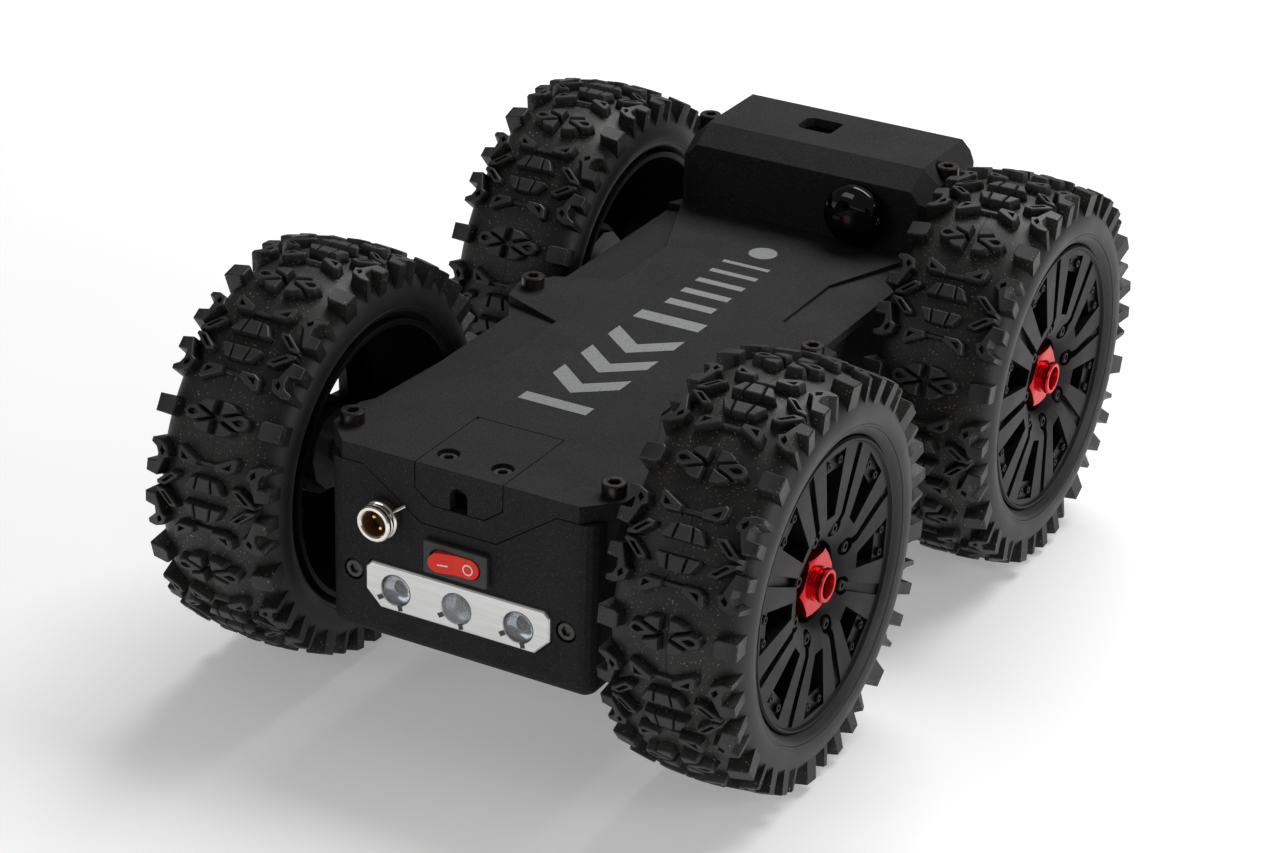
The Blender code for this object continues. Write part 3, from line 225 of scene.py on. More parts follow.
class Paint:
    """A Principled material that is built up node by node."""

    def __init__(self, name, colour, roughness, metallic=0.0, **sockets):
        self.mat = bpy.data.materials.new(name)
        self.mat.use_nodes = True
        self.tree = self.mat.node_tree
        self.shader = self.tree.nodes["Principled BSDF"]
        self.set(self.shader, "Base Color", (*colour, 1.0))
        self.set(self.shader, "Roughness", roughness)
        self.set(self.shader, "Metallic", metallic)
        for socket, value in sockets.items():
            self.set(self.shader, socket.replace("_", " "), value)
        self.colour = (*colour, 1.0)
        self.where = self.tree.nodes.new("ShaderNodeTexCoord").outputs["Object"]

    @staticmethod
    def set(node, socket, value):
        node.inputs[socket].default_value = value

    def link(self, source, node, socket):
        self.tree.links.new(source, node.inputs[socket])

    def noise(self, scale, detail=2.0, roughness=0.5, stretch=None):
        """A noise texture's value. stretch scales its axes."""
        node = self.tree.nodes.new("ShaderNodeTexNoise")
        self.set(node, "Scale", scale)
        self.set(node, "Detail", detail)
        self.set(node, "Roughness", roughness)
        where = self.where
        if stretch is not None:
            mapping = self.tree.nodes.new("ShaderNodeMapping")
            self.set(mapping, "Scale", stretch)
            self.link(where, mapping, "Vector")
            where = mapping.outputs["Vector"]
        self.link(where, node, "Vector")
        return node.outputs["Fac"]

    def ramp(self, value, *stops):
        """Maps a value through (position, grey) stops."""
        node = self.tree.nodes.new("ShaderNodeValToRGB")
        self.link(value, node, "Fac")
        while len(node.color_ramp.elements) < len(stops):
            node.color_ramp.elements.new(0.5)
        for element, (position, grey) in zip(node.color_ramp.elements, stops):
            element.position = position
            element.color = (grey, grey, grey, 1.0)
        return node.outputs["Color"]

    def math(self, operation, one, two=0.0):
        """One step of arithmetic on sockets or plain numbers."""
        node = self.tree.nodes.new("ShaderNodeMath")
        node.operation = operation
        for i, value in enumerate((one, two)):
            if isinstance(value, (int, float)):
                node.inputs[i].default_value = value
            else:
                self.tree.links.new(value, node.inputs[i])
        return node.outputs["Value"]

    def blend(self, factor, other):
        """Mixes another colour into the base colour, by a factor output."""
        node = self.tree.nodes.new("ShaderNodeMix")
        node.data_type = "RGBA"
        self.tree.links.new(factor, node.inputs["Factor"])
        earlier = self.shader.inputs["Base Color"].links
        if earlier:
            self.tree.links.new(earlier[0].from_socket, node.inputs["A"])
        else:
            node.inputs["A"].default_value = self.colour
        node.inputs["B"].default_value = (*other, 1.0)
        self.tree.links.new(node.outputs["Result"], self.shader.inputs["Base Color"])

    def rough(self, value, low, high):
        """Lets roughness follow a value, from low to high."""
        node = self.tree.nodes.new("ShaderNodeMapRange")
        self.link(value, node, "Value")
        self.set(node, "To Min", low)
        self.set(node, "To Max", high)
        self.link(node.outputs["Result"], self.shader, "Roughness")

    def soft_edges(self, radius):
        """Lets sharp edges catch the light as if they were rounded."""
        node = self.tree.nodes.new("ShaderNodeBevel")
        node.samples = 4
        self.set(node, "Radius", radius)
        self.link(node.outputs["Normal"], self.shader, "Normal")

    def bump(self, height, distance, strength=1.0):
        node = self.tree.nodes.new("ShaderNodeBump")
        self.set(node, "Distance", distance)
        self.set(node, "Strength", strength)
        self.link(height, node, "Height")
        earlier = self.shader.inputs["Normal"].links
        if earlier:
            self.link(earlier[0].from_socket, node, "Normal")
        self.link(node.outputs["Normal"], self.shader, "Normal")

    def axes(self):
        """The object's X, Y and Z."""
        apart = self.tree.nodes.new("ShaderNodeSeparateXYZ")
        self.link(self.where, apart, "Vector")
        return [apart.outputs[axis] for axis in "XYZ"]

    def radius(self):
        """Distance from the object's X axis."""
        _, y, z = self.axes()
        squares = self.math("ADD", self.math("MULTIPLY", y, y), self.math("MULTIPLY", z, z))
        return self.math("SQRT", squares)

    def line(self, value, at, half_width):
        """1 at a value and 0 beyond half a width from it."""
        away = self.math("ABSOLUTE", self.math("SUBTRACT", value, at))
        return self.math("SUBTRACT", 1.0, self.band(away, half_width * 0.5, half_width))

    def band(self, value, low, high):
        """0 below low, 1 above high, and smooth between them."""
        node = self.tree.nodes.new("ShaderNodeMapRange")
        node.interpolation_type = "SMOOTHSTEP"
        self.link(value, node, "Value")
        self.set(node, "From Min", low)
        self.set(node, "From Max", high)
        return node.outputs["Result"]


def body_nylon():
    """Laser-sintered black nylon: sandy grain and sparse light specks."""
    paint = Paint("body_nylon", (0.0085, 0.0085, 0.009), 0.70, Specular_IOR_Level=0.26)
    paint.soft_edges(0.0004)
    grain = paint.noise(2600, 3.0, 0.65)
    paint.blend(paint.ramp(grain, (0.44, 0.0), (0.70, 1.0)), (0.023, 0.023, 0.024))
    specks = paint.ramp(paint.noise(3400, 1.0), (0.68, 0.0), (0.74, 0.75))
    paint.blend(specks, (0.13, 0.13, 0.135))
    paint.rough(paint.noise(60, 4.0), 0.62, 0.82)
    paint.bump(grain, 0.00008, 0.65)
    return paint.mat


LUG_TOP_FROM, LUG_TOP_FULL = 0.0580, 0.0592              # radii over which the tyre's paint turns to lug top
TREAD_BASE_FROM, TREAD_BASE_FULL = 0.0535, 0.0560
SEAM_HALF_WIDTH, BEAD_RADIUS, BEAD_HALF_WIDTH = 0.00022, 0.0452, 0.0005


def tyre_rubber():
    """Soft black rubber, matt, with brown dust and light grit lying in the tread's base; lug tops painted
    lighter as a highlight.
    """
    paint = Paint("tyre_rubber", (0.0080, 0.0080, 0.0080), 0.50, Specular_IOR_Level=0.42)
    paint.blend(paint.ramp(paint.noise(180, 4.0, 0.6), (0.35, 0.0), (0.75, 1.0)), (0.0135, 0.0135, 0.0135))
    radius = paint.radius()
    highlight_tops = paint.band(radius, LUG_TOP_FROM, LUG_TOP_FULL)
    # Painted highlight: the lug tops are painted lighter, where the light catches them.
    paint.blend(paint.math("MULTIPLY", highlight_tops, 0.8), (0.034, 0.034, 0.034))
    low = paint.math("SUBTRACT", 1.0, highlight_tops)
    tread = paint.band(radius, TREAD_BASE_FROM, TREAD_BASE_FULL)
    base = paint.math("MULTIPLY", low, tread)
    patches = paint.ramp(paint.noise(55, 3.0), (0.38, 0.0), (0.72, 1.0))
    paint.blend(paint.math("MULTIPLY", base, paint.math("MULTIPLY", patches, 0.6)), (0.022, 0.019, 0.015))
    grit = paint.ramp(paint.noise(1700, 1.5), (0.665, 0.0), (0.72, 1.0))
    spread = paint.math("ADD", paint.math("MULTIPLY", base, 0.9), 0.06)
    paint.blend(paint.math("MULTIPLY", grit, spread), (0.26, 0.24, 0.19))
    paint.rough(paint.noise(90, 4.0), 0.38, 0.60)
    across = paint.axes()[0]
    seam = paint.math("MULTIPLY", paint.line(across, 0.0, SEAM_HALF_WIDTH), low)
    paint.bump(seam, 0.00025)
    paint.bump(paint.line(radius, BEAD_RADIUS, BEAD_HALF_WIDTH), 0.0004)
    paint.bump(paint.noise(900, 3.0, 0.6), 0.00008, 0.35)
    return paint.mat


def rim_plastic():
    """Satin black moulded nylon of the rims."""
    paint = Paint("rim_plastic", (0.0024, 0.0024, 0.0026), 0.42, Specular_IOR_Level=0.17)
    paint.soft_edges(0.0002)
    paint.blend(paint.ramp(paint.noise(240, 3.0), (0.4, 0.0), (0.75, 1.0)), (0.0042, 0.0042, 0.0045))
    paint.rough(paint.noise(150, 4.0), 0.36, 0.54)
    paint.bump(paint.noise(1500, 2.0), 0.00004, 0.3)
    return paint.mat


def red_anodised():
    paint = Paint("red_anodised", (0.60, 0.007, 0.013), 0.27, metallic=0.9)
    paint.soft_edges(0.00015)
    paint.blend(paint.ramp(paint.noise(400, 2.0), (0.45, 0.0), (0.8, 1.0)), (0.70, 0.018, 0.023))
    paint.bump(paint.noise(1800, 2.0, 0.5, (1.0, 0.06, 0.06)), 0.00002, 0.4)
    return paint.mat


def black_steel():
    """Black-oxide screws: brownish where they catch the light."""
    paint = Paint("black_steel", (0.040, 0.036, 0.034), 0.34, metallic=0.85)
    paint.blend(paint.ramp(paint.noise(700, 3.0), (0.4, 0.0), (0.7, 1.0)), (0.080, 0.070, 0.064))
    paint.bump(paint.noise(2500, 2.0), 0.00003, 0.4)
    return paint.mat


def lamp_aluminium():
    """Machined aluminium with faint milling lines along the bar."""
    paint = Paint("lamp_aluminium", (0.86, 0.86, 0.85), 0.33, metallic=0.75)
    lines = paint.noise(700, 3.0, 0.6, (0.06, 1.0, 1.0))
    paint.blend(paint.ramp(lines, (0.35, 0.0), (0.8, 0.6)), (0.66, 0.66, 0.66))
    paint.bump(lines, 0.00003, 0.4)
    return paint.mat


def lamp_glass():
    paint = Paint("lamp_glass", (0.93, 0.95, 0.97), 0.03, IOR=1.48, Transmission_Weight=1.0)
    paint.bump(paint.noise(260, 1.0), 0.00004, 0.2)
    return paint.mat


def wavy_glass():
    """The middle lens has a crinkled inside."""
    paint = Paint("wavy_glass", (0.90, 0.93, 0.95), 0.06, IOR=1.48, Transmission_Weight=0.85)
    paint.bump(paint.noise(900, 2.0), 0.0004, 0.8)
    return paint.mat


def reflector():
    paint = Paint("lamp_reflector", (0.40, 0.42, 0.45), 0.26, metallic=1.0)
    paint.bump(paint.noise(500, 1.0), 0.00003, 0.3)
    return paint.mat


# Painted discs of the camera lens, outermost first: solid up to a radius, gone at the next, and their colour
# The first disc is the brown inner element; the teal, amber and magenta ones are painted reflections of the
# coatings.
LENS_TINT_AND_REFLECTION_RINGS = (
    (0.0026, 0.0032, (0.012, 0.008, 0.005)),
    (0.0013, 0.0017, (0.030, 0.055, 0.050)),
    (0.0008, 0.0012, (0.12, 0.075, 0.020)),
    (0.0004, 0.0007, (0.30, 0.025, 0.17)),
)


def camera_glass():
    """Coated lens: nearly black, with a brown inner element and thin coloured rings around its axis painted
    as reflections of its coatings.
    """
    paint = Paint("camera_glass", (0.0015, 0.0015, 0.0017), 0.05, Specular_IOR_Level=0.35, Coat_Weight=0.15)
    radius = paint.radius()
    # Brown inner disc, then teal, amber and magenta rings of painted reflection.
    for inner, outer, colour in LENS_TINT_AND_REFLECTION_RINGS:
        paint.blend(paint.math("SUBTRACT", 1.0, paint.band(radius, inner, outer)), colour)
    paint.rough(paint.noise(400, 2.0), 0.03, 0.07)
    return paint.mat


def plain(name, colour, roughness, metallic=0.0, grain=900, depth=0.00003, **sockets):
    """A moulded or metal finish with slight mottling and a fine grain."""
    paint = Paint(name, colour, roughness, metallic, **sockets)
    lighter = tuple(min(c * 1.25 + 0.004, 1.0) for c in colour)
    paint.blend(paint.ramp(paint.noise(grain / 3, 3.0), (0.4, 0.0), (0.75, 1.0)), lighter)
    paint.bump(paint.noise(grain, 2.0), depth, 0.35)
    return paint.mat


def silver_print():
    """Silver screen print, slightly worn."""
    paint = Paint("silver_print", (0.26, 0.265, 0.265), 0.55, metallic=0.25)
    worn = paint.ramp(paint.noise(1400, 4.0, 0.7), (0.52, 0.0), (0.70, 1.0))
    paint.blend(worn, (0.15, 0.153, 0.156))
    paint.bump(paint.noise(2600, 3.0), 0.00005, 0.5)
    return paint.mat


def make_materials():
    return {
        "body_nylon": body_nylon(), "tyre_rubber": tyre_rubber(), "rim_plastic": rim_plastic(),
        "red_anodised": red_anodised(), "black_steel": black_steel(), "lamp_aluminium": lamp_aluminium(),
        "lamp_glass": lamp_glass(), "wavy_glass": wavy_glass(), "reflector": reflector(),
        "silver_print": silver_print(),
        "circuit_board": plain("circuit_board", (0.01, 0.09, 0.035), 0.4),
        "switch_grey": plain("switch_grey", (0.030, 0.031, 0.033), 0.5),
        "switch_red": plain("switch_red", (1.0, 0.042, 0.020), 0.45, Specular_IOR_Level=0.25),
        "socket_nickel": plain("socket_nickel", (0.80, 0.76, 0.70), 0.16, 1.0),
        "socket_bronze": plain("socket_bronze", (0.20, 0.12, 0.05), 0.45, 0.6),
        "gold_pin": plain("gold_pin", (0.85, 0.55, 0.15), 0.2, 1.0),
        "camera_glass": camera_glass(),
        "camera_black": plain("camera_black", (0.012, 0.012, 0.013), 0.45),
        "motor_can": plain("motor_can", (0.42, 0.42, 0.43), 0.35, 1.0),
        "battery_wrap": plain("battery_wrap", (0.02, 0.08, 0.30), 0.3),
        "bright_steel": plain("bright_steel", (0.10, 0.10, 0.102), 0.42, 0.8),
        "tyre_foam": plain("tyre_foam", (0.26, 0.26, 0.24), 0.95, 0.0, 300, 0.0003),
        "lamp_source": plain("lamp_source", (0.05, 0.05, 0.055), 0.25),
        "clip_grey": plain("clip_grey", (0.035, 0.035, 0.037), 0.4),
        "grey_steel": plain("grey_steel", (0.070, 0.068, 0.066), 0.36, 0.85),
        "white_mark": plain("white_mark", (0.86, 0.86, 0.85), 0.5),
    }


# ------------------------------------------------------- tyre

# Lugs of an eighth of the tread: name, outline, pits, the axes it is mirrored on, and how far its top is
# sunk. s is across the tyre and v around it, in millimetres from the middle of a star.
LUGS_MM = (
    ("star_point", [(2.5, -0.3), (7.4, -2.1), (9.6, -1.6), (10.5, 0), (9.6, 1.6), (7.4, 2.1), (2.5, 0.3)],
     [[(5.8, 0), (7.5, -0.75), (8.7, -0.6), (9.2, 0), (8.7, 0.6), (7.5, 0.75)]], "s", 0.0),
    ("star_wedge", [(1.5, 1.1), (6.2, 2.75), (5.7, 3.6), (4.1, 4.5), (1.5, 4.7)], [], "sv", 0.0),
    ("shoulder_block", [(14.2, -2.0), (15.1, -2.7), (20.6, -2.7), (20.6, 2.7), (15.1, 2.7), (14.2, 2.0)],
     [], "s", 0.0),
    ("house", [(3.0, 12.7), (8.8, 9.8), (9.8, 10.3), (9.4, 13.2), (7.6, 14.4), (3.3, 14.4)],
     [[(5.9, 13.2), (8.2, 11.7), (8.0, 13.3)]], "sv", 0.0),
    ("low_bar", [(-3.2, 12.9), (3.2, 12.9), (3.2, 14.2), (-3.2, 14.2)], [], "v", 1.7),
    ("fan_middle", [(-1.9, 17.4), (1.9, 17.4), (2.5, 21.4), (-2.5, 21.4)], [], "v", 0.0),
    ("fan_side", [(2.6, 17.5), (4.3, 17.8), (6.3, 20.9), (6.1, 21.4), (3.2, 21.4)], [], "sv", 0.0),
    ("arrow", [(9.0, 18.5), (11.3, 18.2), (16.5, 22.2), (16.4, 23.2), (13.6, 22.9), (9.2, 19.5)],
     [[(10.4, 19.3), (11.4, 19.3), (14.4, 21.8), (13.6, 22.0)]], "sv", 0.3),
    ("hook", [(12.9, 14.4), (13.9, 11.5), (17.0, 10.1), (19.6, 10.2), (19.8, 11.5), (17.7, 12.6),
              (16.8, 14.2), (17.0, 16.6), (20.6, 16.9), (20.6, 20.4), (16.6, 20.8), (15.4, 17.8),
              (14.4, 15.2)],
     [[(14.4, 13.2), (15.7, 12.1), (16.0, 13.2), (15.0, 14.3)]], "sv", 0.0),
)


def offset(outline, distance):
    """Moves a closed outline outwards, or inwards if distance is negative, with mitred corners."""
    area = sum(a[0] * b[1] - b[0] * a[1] for a, b in zip(outline, outline[1:] + outline[:1]))
    sign = 1.0 if area > 0 else -1.0
    moved = []
    for i, point in enumerate(outline):
        here = Vector(point)
        before = (here - Vector(outline[i - 1])).normalized()
        after = (Vector(outline[(i + 1) % len(outline)]) - here).normalized()
        out_before = Vector((before.y, -before.x)) * sign
        out_after = Vector((after.y, -after.x)) * sign
        mitre = out_before + out_after
        reach = max(mitre.dot(out_before), 0.35)
        moved.append(tuple(here + mitre * (distance / reach)))
    return moved


def carcass_radius(s):
    """Radius of the carcass at a distance from the centre line, on its tread side."""
    s = abs(s)
    for (s0, r0), (s1, r1) in zip(CARCASS_MM, CARCASS_MM[1:]):
        if s <= s1:
            return r0 + (r1 - r0) * (s - s0) / (s1 - s0)
    return CARCASS_MM[-1][1]


def on_tyre(s, v, radius):
    angle = v / TREAD_RADIUS_MM
    return Vector((s, radius * math.cos(angle), radius * math.sin(angle))) * MM


def lug(outline, pits, drop):
    """One closed lug: base in the carcass, drafted walls, chamfered top and any pits in it."""
    bm = bmesh.new()

    def top_radius(s):
        return TREAD_TOP_MM - TREAD_CROWN * s * s - drop

    def ring(points, radius_of):
        return [bm.verts.new(on_tyre(s, v, radius_of(s))) for s, v in points]

    def wall(one, two):
        for i in range(len(one)):
            j = (i + 1) % len(one)
            bm.faces.new((one[i], one[j], two[j], two[i]))

    def foot(points):
        """The base ring lies under the carcass and keeps clear of its widest part."""
        inner = [(max(-ROOT_HALF_WIDTH_MM, min(ROOT_HALF_WIDTH_MM, s)), v) for s, v in points]
        return ring(inner, lambda s: carcass_radius(s) - ROOT_MM)

    def chamfered(s):
        return top_radius(s) - CHAMFER_MM

    base = foot(offset(outline, DRAFT_MM))
    edge = ring(outline, chamfered)
    top = ring(offset(outline, -CHAMFER_MM), top_radius)
    wall(base, edge)
    wall(edge, top)
    bm.faces.new(base)
    loops = [top]
    for pit in pits:
        rim = ring(offset(pit, CHAMFER_MM * 0.7), top_radius)
        floor = ring(offset(pit, -0.1), lambda s: top_radius(s) - PIT_DEPTH_MM)
        wall(rim, floor)
        bm.faces.new(floor)
        loops.append(rim)
    flat = [[Vector((vert.co.x, math.atan2(vert.co.z, vert.co.y) * TREAD_RADIUS_MM * MM, 0)) for vert in loop]
            for loop in loops]
    points = [vert for loop in loops for vert in loop]
    for corners in tessellate_polygon(flat):
        bm.faces.new([points[i] for i in corners])
    bmesh.ops.recalc_face_normals(bm, faces=bm.faces)
    return bm


def mirrored_lugs(outline, pits, how, drop):
    """A lug and its mirror images across the tyre (s) and around it (v)."""
    def flipped(points, a, b):
        return [(a * s, b * v) for s, v in points][::a * b]

    signs = [(a, b) for a in ((1, -1) if "s" in how else (1,)) for b in ((1, -1) if "v" in how else (1,))]
    return [lug(flipped(outline, a, b), [flipped(pit, a, b) for pit in pits], drop) for a, b in signs]


def tread():
    """All the lugs of a tyre."""
    period = math.tau / TREAD_PERIODS
    eighth = merged([one for _, outline, pits, how, drop in LUGS_MM
                     for one in mirrored_lugs(outline, pits, how, drop)])
    parts = []
    for i in range(TREAD_PERIODS):
        copy = eighth.copy()
        copy.transform(Matrix.Rotation(period * i, 4, "X"))
        parts.append(copy)
    eighth.free()
    return merged(parts)


def smooth_profile(points, steps):
    """Points on a Catmull-Rom curve through the given ones."""
    extended = [points[0]] + list(points) + [points[-1]]
    smooth = []
    for a, b, c, d in zip(extended, extended[1:], extended[2:], extended[3:]):
        for i in range(steps):
            t = i / steps
            smooth.append(tuple(0.5 * (2 * q + (r - p) * t + (2 * p - 5 * q + 4 * r - s) * t * t
                                       + (3 * q - p - 3 * r + s) * t ** 3) for p, q, r, s in zip(a, b, c, d)))
    return smooth + [points[-1]]


def carcass():
    """The tyre's casing, hollow and open to the rim."""
    half = smooth_profile([(-CARCASS_MM[1][0], CARCASS_MM[1][1])] + list(CARCASS_MM), 3)[3:]
    outer = [(-s, r) for s, r in reversed(half[1:])] + half
    inner = [(14.2, 42.25), (16.9, 46.0), (15.2, 51.0), (9.0, 53.4), (-9.0, 53.4), (-15.2, 51.0),
             (-16.9, 46.0), (-14.2, 42.25)]
    return turned([(r * MM, s * MM) for s, r in outer + inner], CARCASS_SIDES)


def tyre_mesh(mat):
    bm = boolean(carcass(), tread(), "UNION")
    mesh = to_mesh(bm, "tyre_body", 28)
    mesh.materials.append(mat)
    return mesh


# ------------------------------------------------------- rim and nut

RIM_RADIUS, RIM_LIP, RIM_FACE, SPOKE_BACK = 0.0418, 0.0185, 0.0177, 0.0132
RIM_INNER = -0.0200
WINDOWS = 8
WINDOW_IN, WINDOW_OUT = (0.0199, 0.0024), (0.0385, 0.0062)      # radius and half width
LEDGE_RADIUS, LEDGE_DEPTH = 0.0333, 0.0012
LEDGE_BOLT_RADIUS, LEDGE_BOLT_APART = 0.0359, 0.0069
GROOVE_IN, GROOVE_OUT = (0.0172, 0.00120), (0.0400, 0.00165)
HUB_BOLT_RADIUS, HUB_BOLT_SEAT, HUB_BOLT_BORE = 0.01555, 0.0147, 0.0027
LEDGE_BOLT, HUB_BOLT = (0.00130, 0.0011), (0.00185, 0.0018)      # head radius and height
STUB_BORE = 0.0063
HUB_BACK, HUB_FRONT = -0.0020, 0.0080
NUT_SEAT, NUT_FACE, NUT_END = 0.0115, 0.0155, 0.0188
HEX_RADIUS = 0.0085 / math.cos(math.pi / 6)      # corners of a 17 mm hexagon
NUT_TEETH, NUT_TOOTH_DEPTH = 10, 0.00016         # along each side
NUT_HOLE = 0.0036


def window_cutter(low, high, from_radius):
    """A wedge-shaped hole between two spokes, from a given radius outwards."""
    (r0, h0), (r1, h1) = WINDOW_IN, WINDOW_OUT
    half = h0 + (h1 - h0) * (from_radius - r0) / (r1 - r0)
    return prism([(from_radius, -half), (r1, -h1), (r1, h1), (from_radius, half)], low, high)


def groove_cutter():
    """A slot along a spoke, deep near the hub and rising to the face at its outer end."""
    (r0, h0), (r1, h1) = GROOVE_IN, GROOVE_OUT
    deep, top = RIM_FACE - 0.0032, RIM_FACE + 0.002
    bm = prism([(r0, -h0), (r1, -h1), (r1, h1), (r0, h0)], deep, top)
    for vert in bm.verts:
        if vert.co.x < RIM_FACE and vert.co.y > 0.03:
            vert.co.x = RIM_FACE - 0.0006
    bm.transform(Matrix.Rotation(math.pi / WINDOWS, 4, "X"))
    return bm


def placed_bolt(head, at_radius, at_side, at_x):
    """A small cap bolt that stands on a face at at_x, with a socket in its head."""
    radius, height = head
    bm = turned([(0, -height), (radius, -height), (radius, height * 0.75), (radius * 0.8, height),
                 (radius * 0.45, height), (radius * 0.45, height * 0.4), (0, height * 0.4)], 16)
    bm.transform(Matrix.Translation((at_x, at_radius, at_side)))
    return bm


def rim_body():
    """The rim's turned body: lip, spoke disc, dished hub with the nut's pocket, and barrel."""
    profile = [(RIM_RADIUS, RIM_LIP - 0.0006), (RIM_RADIUS - 0.0006, RIM_LIP), (0.0408, RIM_LIP),
               (0.0402, RIM_FACE), (WINDOW_IN[0] + 0.0002, RIM_FACE), (0.0150, 0.0163), (0.0128, 0.0152),
               (0.0116, 0.0140), (0.0116, NUT_SEAT - 0.0003), (STUB_BORE, NUT_SEAT - 0.0003),
               (STUB_BORE, HUB_BACK), (0.0145, HUB_BACK), (0.0150, SPOKE_BACK), (0.0395, SPOKE_BACK),
               (0.0403, 0.0), (0.0400, RIM_INNER + 0.0005), (0.0404, RIM_INNER), (RIM_RADIUS, RIM_INNER)]
    return turned(profile, RIM_SIDES)


def rim_mesh(mat, phase):
    """The rim. Its hexagon pocket is turned back by the wheel's phase, to stay in line with the drive hub."""
    above = RIM_FACE + 0.004
    pocket = prism(regular(6, HEX_RADIUS + 0.0003, turn=-phase), HUB_BACK - 0.001, HUB_FRONT + 0.0003)
    through = around(lambda: window_cutter(SPOKE_BACK - 0.002, above, WINDOW_IN[0]), WINDOWS)
    keep = turned([(LEDGE_RADIUS, -0.05), (LEDGE_RADIUS, 0.05), (0, 0.05), (0, -0.05)], 96)
    through = boolean(through, keep, "INTERSECT")
    ledges = around(lambda: window_cutter(RIM_FACE - LEDGE_DEPTH, above, LEDGE_RADIUS - 0.0008), WINDOWS)
    bores = around(hub_bolt_bore, WINDOWS)
    bm = boolean(rim_body(), pocket)
    for cutter in (through, ledges, around(groove_cutter, WINDOWS), bores):
        bm = boolean(bm, cutter)
    bm = boolean(bm, rim_bolts(), "UNION")
    mesh = to_mesh(flatten(bm, 0.2), "rim_body", 35)
    mesh.materials.append(mat)
    return mesh


def hub_bolt_bore():
    """The round recess of a hub bolt, in line with a groove."""
    top = RIM_FACE + 0.002
    bm = turned([(0, HUB_BOLT_SEAT), (HUB_BOLT_BORE, HUB_BOLT_SEAT), (HUB_BOLT_BORE, top), (0, top)], 24)
    bm.transform(Matrix.Translation((0, HUB_BOLT_RADIUS, 0)))
    bm.transform(Matrix.Rotation(math.pi / WINDOWS, 4, "X"))
    return bm


def rim_bolts():
    """Two bolts on each ledge and one at each groove's inner end."""
    def one_group():
        ledge = RIM_FACE - LEDGE_DEPTH
        pair = [placed_bolt(LEDGE_BOLT, LEDGE_BOLT_RADIUS, side * LEDGE_BOLT_APART / 2, ledge)
                for side in (1, -1)]
        hub = placed_bolt(HUB_BOLT, HUB_BOLT_RADIUS, 0, HUB_BOLT_SEAT)
        hub.transform(Matrix.Rotation(math.pi / WINDOWS, 4, "X"))
        return merged(pair + [hub])
    return around(one_group, WINDOWS)


def serrated_hexagon():
    """The nut's hexagon with fine teeth along its sides."""
    outline = []
    corners = regular(6, HEX_RADIUS)
    for one, two in zip(corners, corners[1:] + corners[:1]):
        start, run = Vector(one), Vector(two) - Vector(one)
        normal = Vector((run.y, -run.x)).normalized()
        outline.append(one)
        for i in range(1, 2 * NUT_TEETH):
            notch = normal * (NUT_TOOTH_DEPTH if i % 2 else 0)
            outline.append(tuple(start + run * (i / (2 * NUT_TEETH)) - notch))
    return outline


def nut_mesh(mat):
    """Wheel nut: serrated hexagon with a chamfered face, and a grooved collar with a hole."""
    back = prism(serrated_hexagon(), NUT_SEAT, NUT_FACE - 0.0009)
    front = prism(regular(6, HEX_RADIUS), NUT_FACE - 0.0012, NUT_FACE)
    cone = turned([(0, NUT_SEAT - 0.01), (0.0112, NUT_SEAT - 0.01), (0.0102, NUT_FACE - 0.0008),
                   (0.0086, NUT_FACE + 0.0001), (0, NUT_FACE + 0.0001)], 64)
    collar = [(0, NUT_FACE - 0.001), (0.0050, NUT_FACE - 0.001), (0.0050, 0.0163), (0.0045, 0.0166),
              (0.0045, 0.0171), (0.0050, 0.0174), (0.0050, NUT_END - 0.0005), (0.0046, NUT_END), (0, NUT_END)]
    bore = [(0, NUT_SEAT - 0.01), (STUB_BORE, NUT_SEAT - 0.01), (STUB_BORE, 0.0144), (NUT_HOLE, 0.0146),
            (NUT_HOLE, NUT_END - 0.0003), (NUT_HOLE + 0.0004, NUT_END + 0.001), (0, NUT_END + 0.001)]
    bm = boolean(back, front, "UNION")
    bm = boolean(bm, cone, "INTERSECT")
    bm = boolean(bm, turned(collar, 48), "UNION")
    bm = boolean(bm, turned(bore, 40))
    mesh = to_mesh(flatten(bm, 0.2), "nut_body", 30)
    mesh.materials.append(mat)
    return mesh


def wheel_centre(corner):
    """Centre of a tyre, and whether it is a right-hand one."""
    low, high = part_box(f"{corner}_tyre")
    return (low + high) / 2, corner.endswith("right")


def add_wheels(mats):
    """The tyre, rim and nut of each wheel. Their meshes face +X, so the left ones are turned about."""
    tyre = tyre_mesh(mats["tyre_rubber"])
    nut = nut_mesh(mats["red_anodised"])
    for corner in CORNERS:
        centre, right = wheel_centre(corner)
        facing = 0.0 if right else math.pi
        tread_turn = math.radians(TREAD_PHASE[corner] if right else 180 - TREAD_PHASE[corner])
        rim_turn = math.radians(RIM_PHASE[corner])
        rim = rim_mesh(mats["rim_plastic"], rim_turn)
        for name, mesh, slot, turn in (("tyre", tyre, "tyre_rubber", tread_turn),
                                       ("rim", rim, "rim_plastic", rim_turn),
                                       ("wheel_nut", nut, "red_anodised", facing)):
            piece(f"{corner}_{name}_body", mesh, mats[slot], f"{corner}_wheel",
                  [f"{corner}_{name}"], centre, (turn, 0, facing))


# ------------------------------------------------------- body

def smooth_cad(name):
    """Shades a CAD node by its own angles, which leaves its mesh as it is."""
    obj = NODES[name]
    if "custom_normal" in obj.data.attributes:
        obj.data.attributes.remove(obj.data.attributes["custom_normal"])
    obj.data.shade_smooth()
    obj.data.set_sharp_from_angle(angle=math.radians(28))


def paint_cad(mats):
    """Gives every CAD node the material of its slot."""
    for row in frame["record"]["subparts"]:
        obj = NODES[row["node"]]
        obj.data.materials.clear()
        obj.data.materials.append(mats[row["material_slot"]])


# ------------------------------------------------------- front fittings

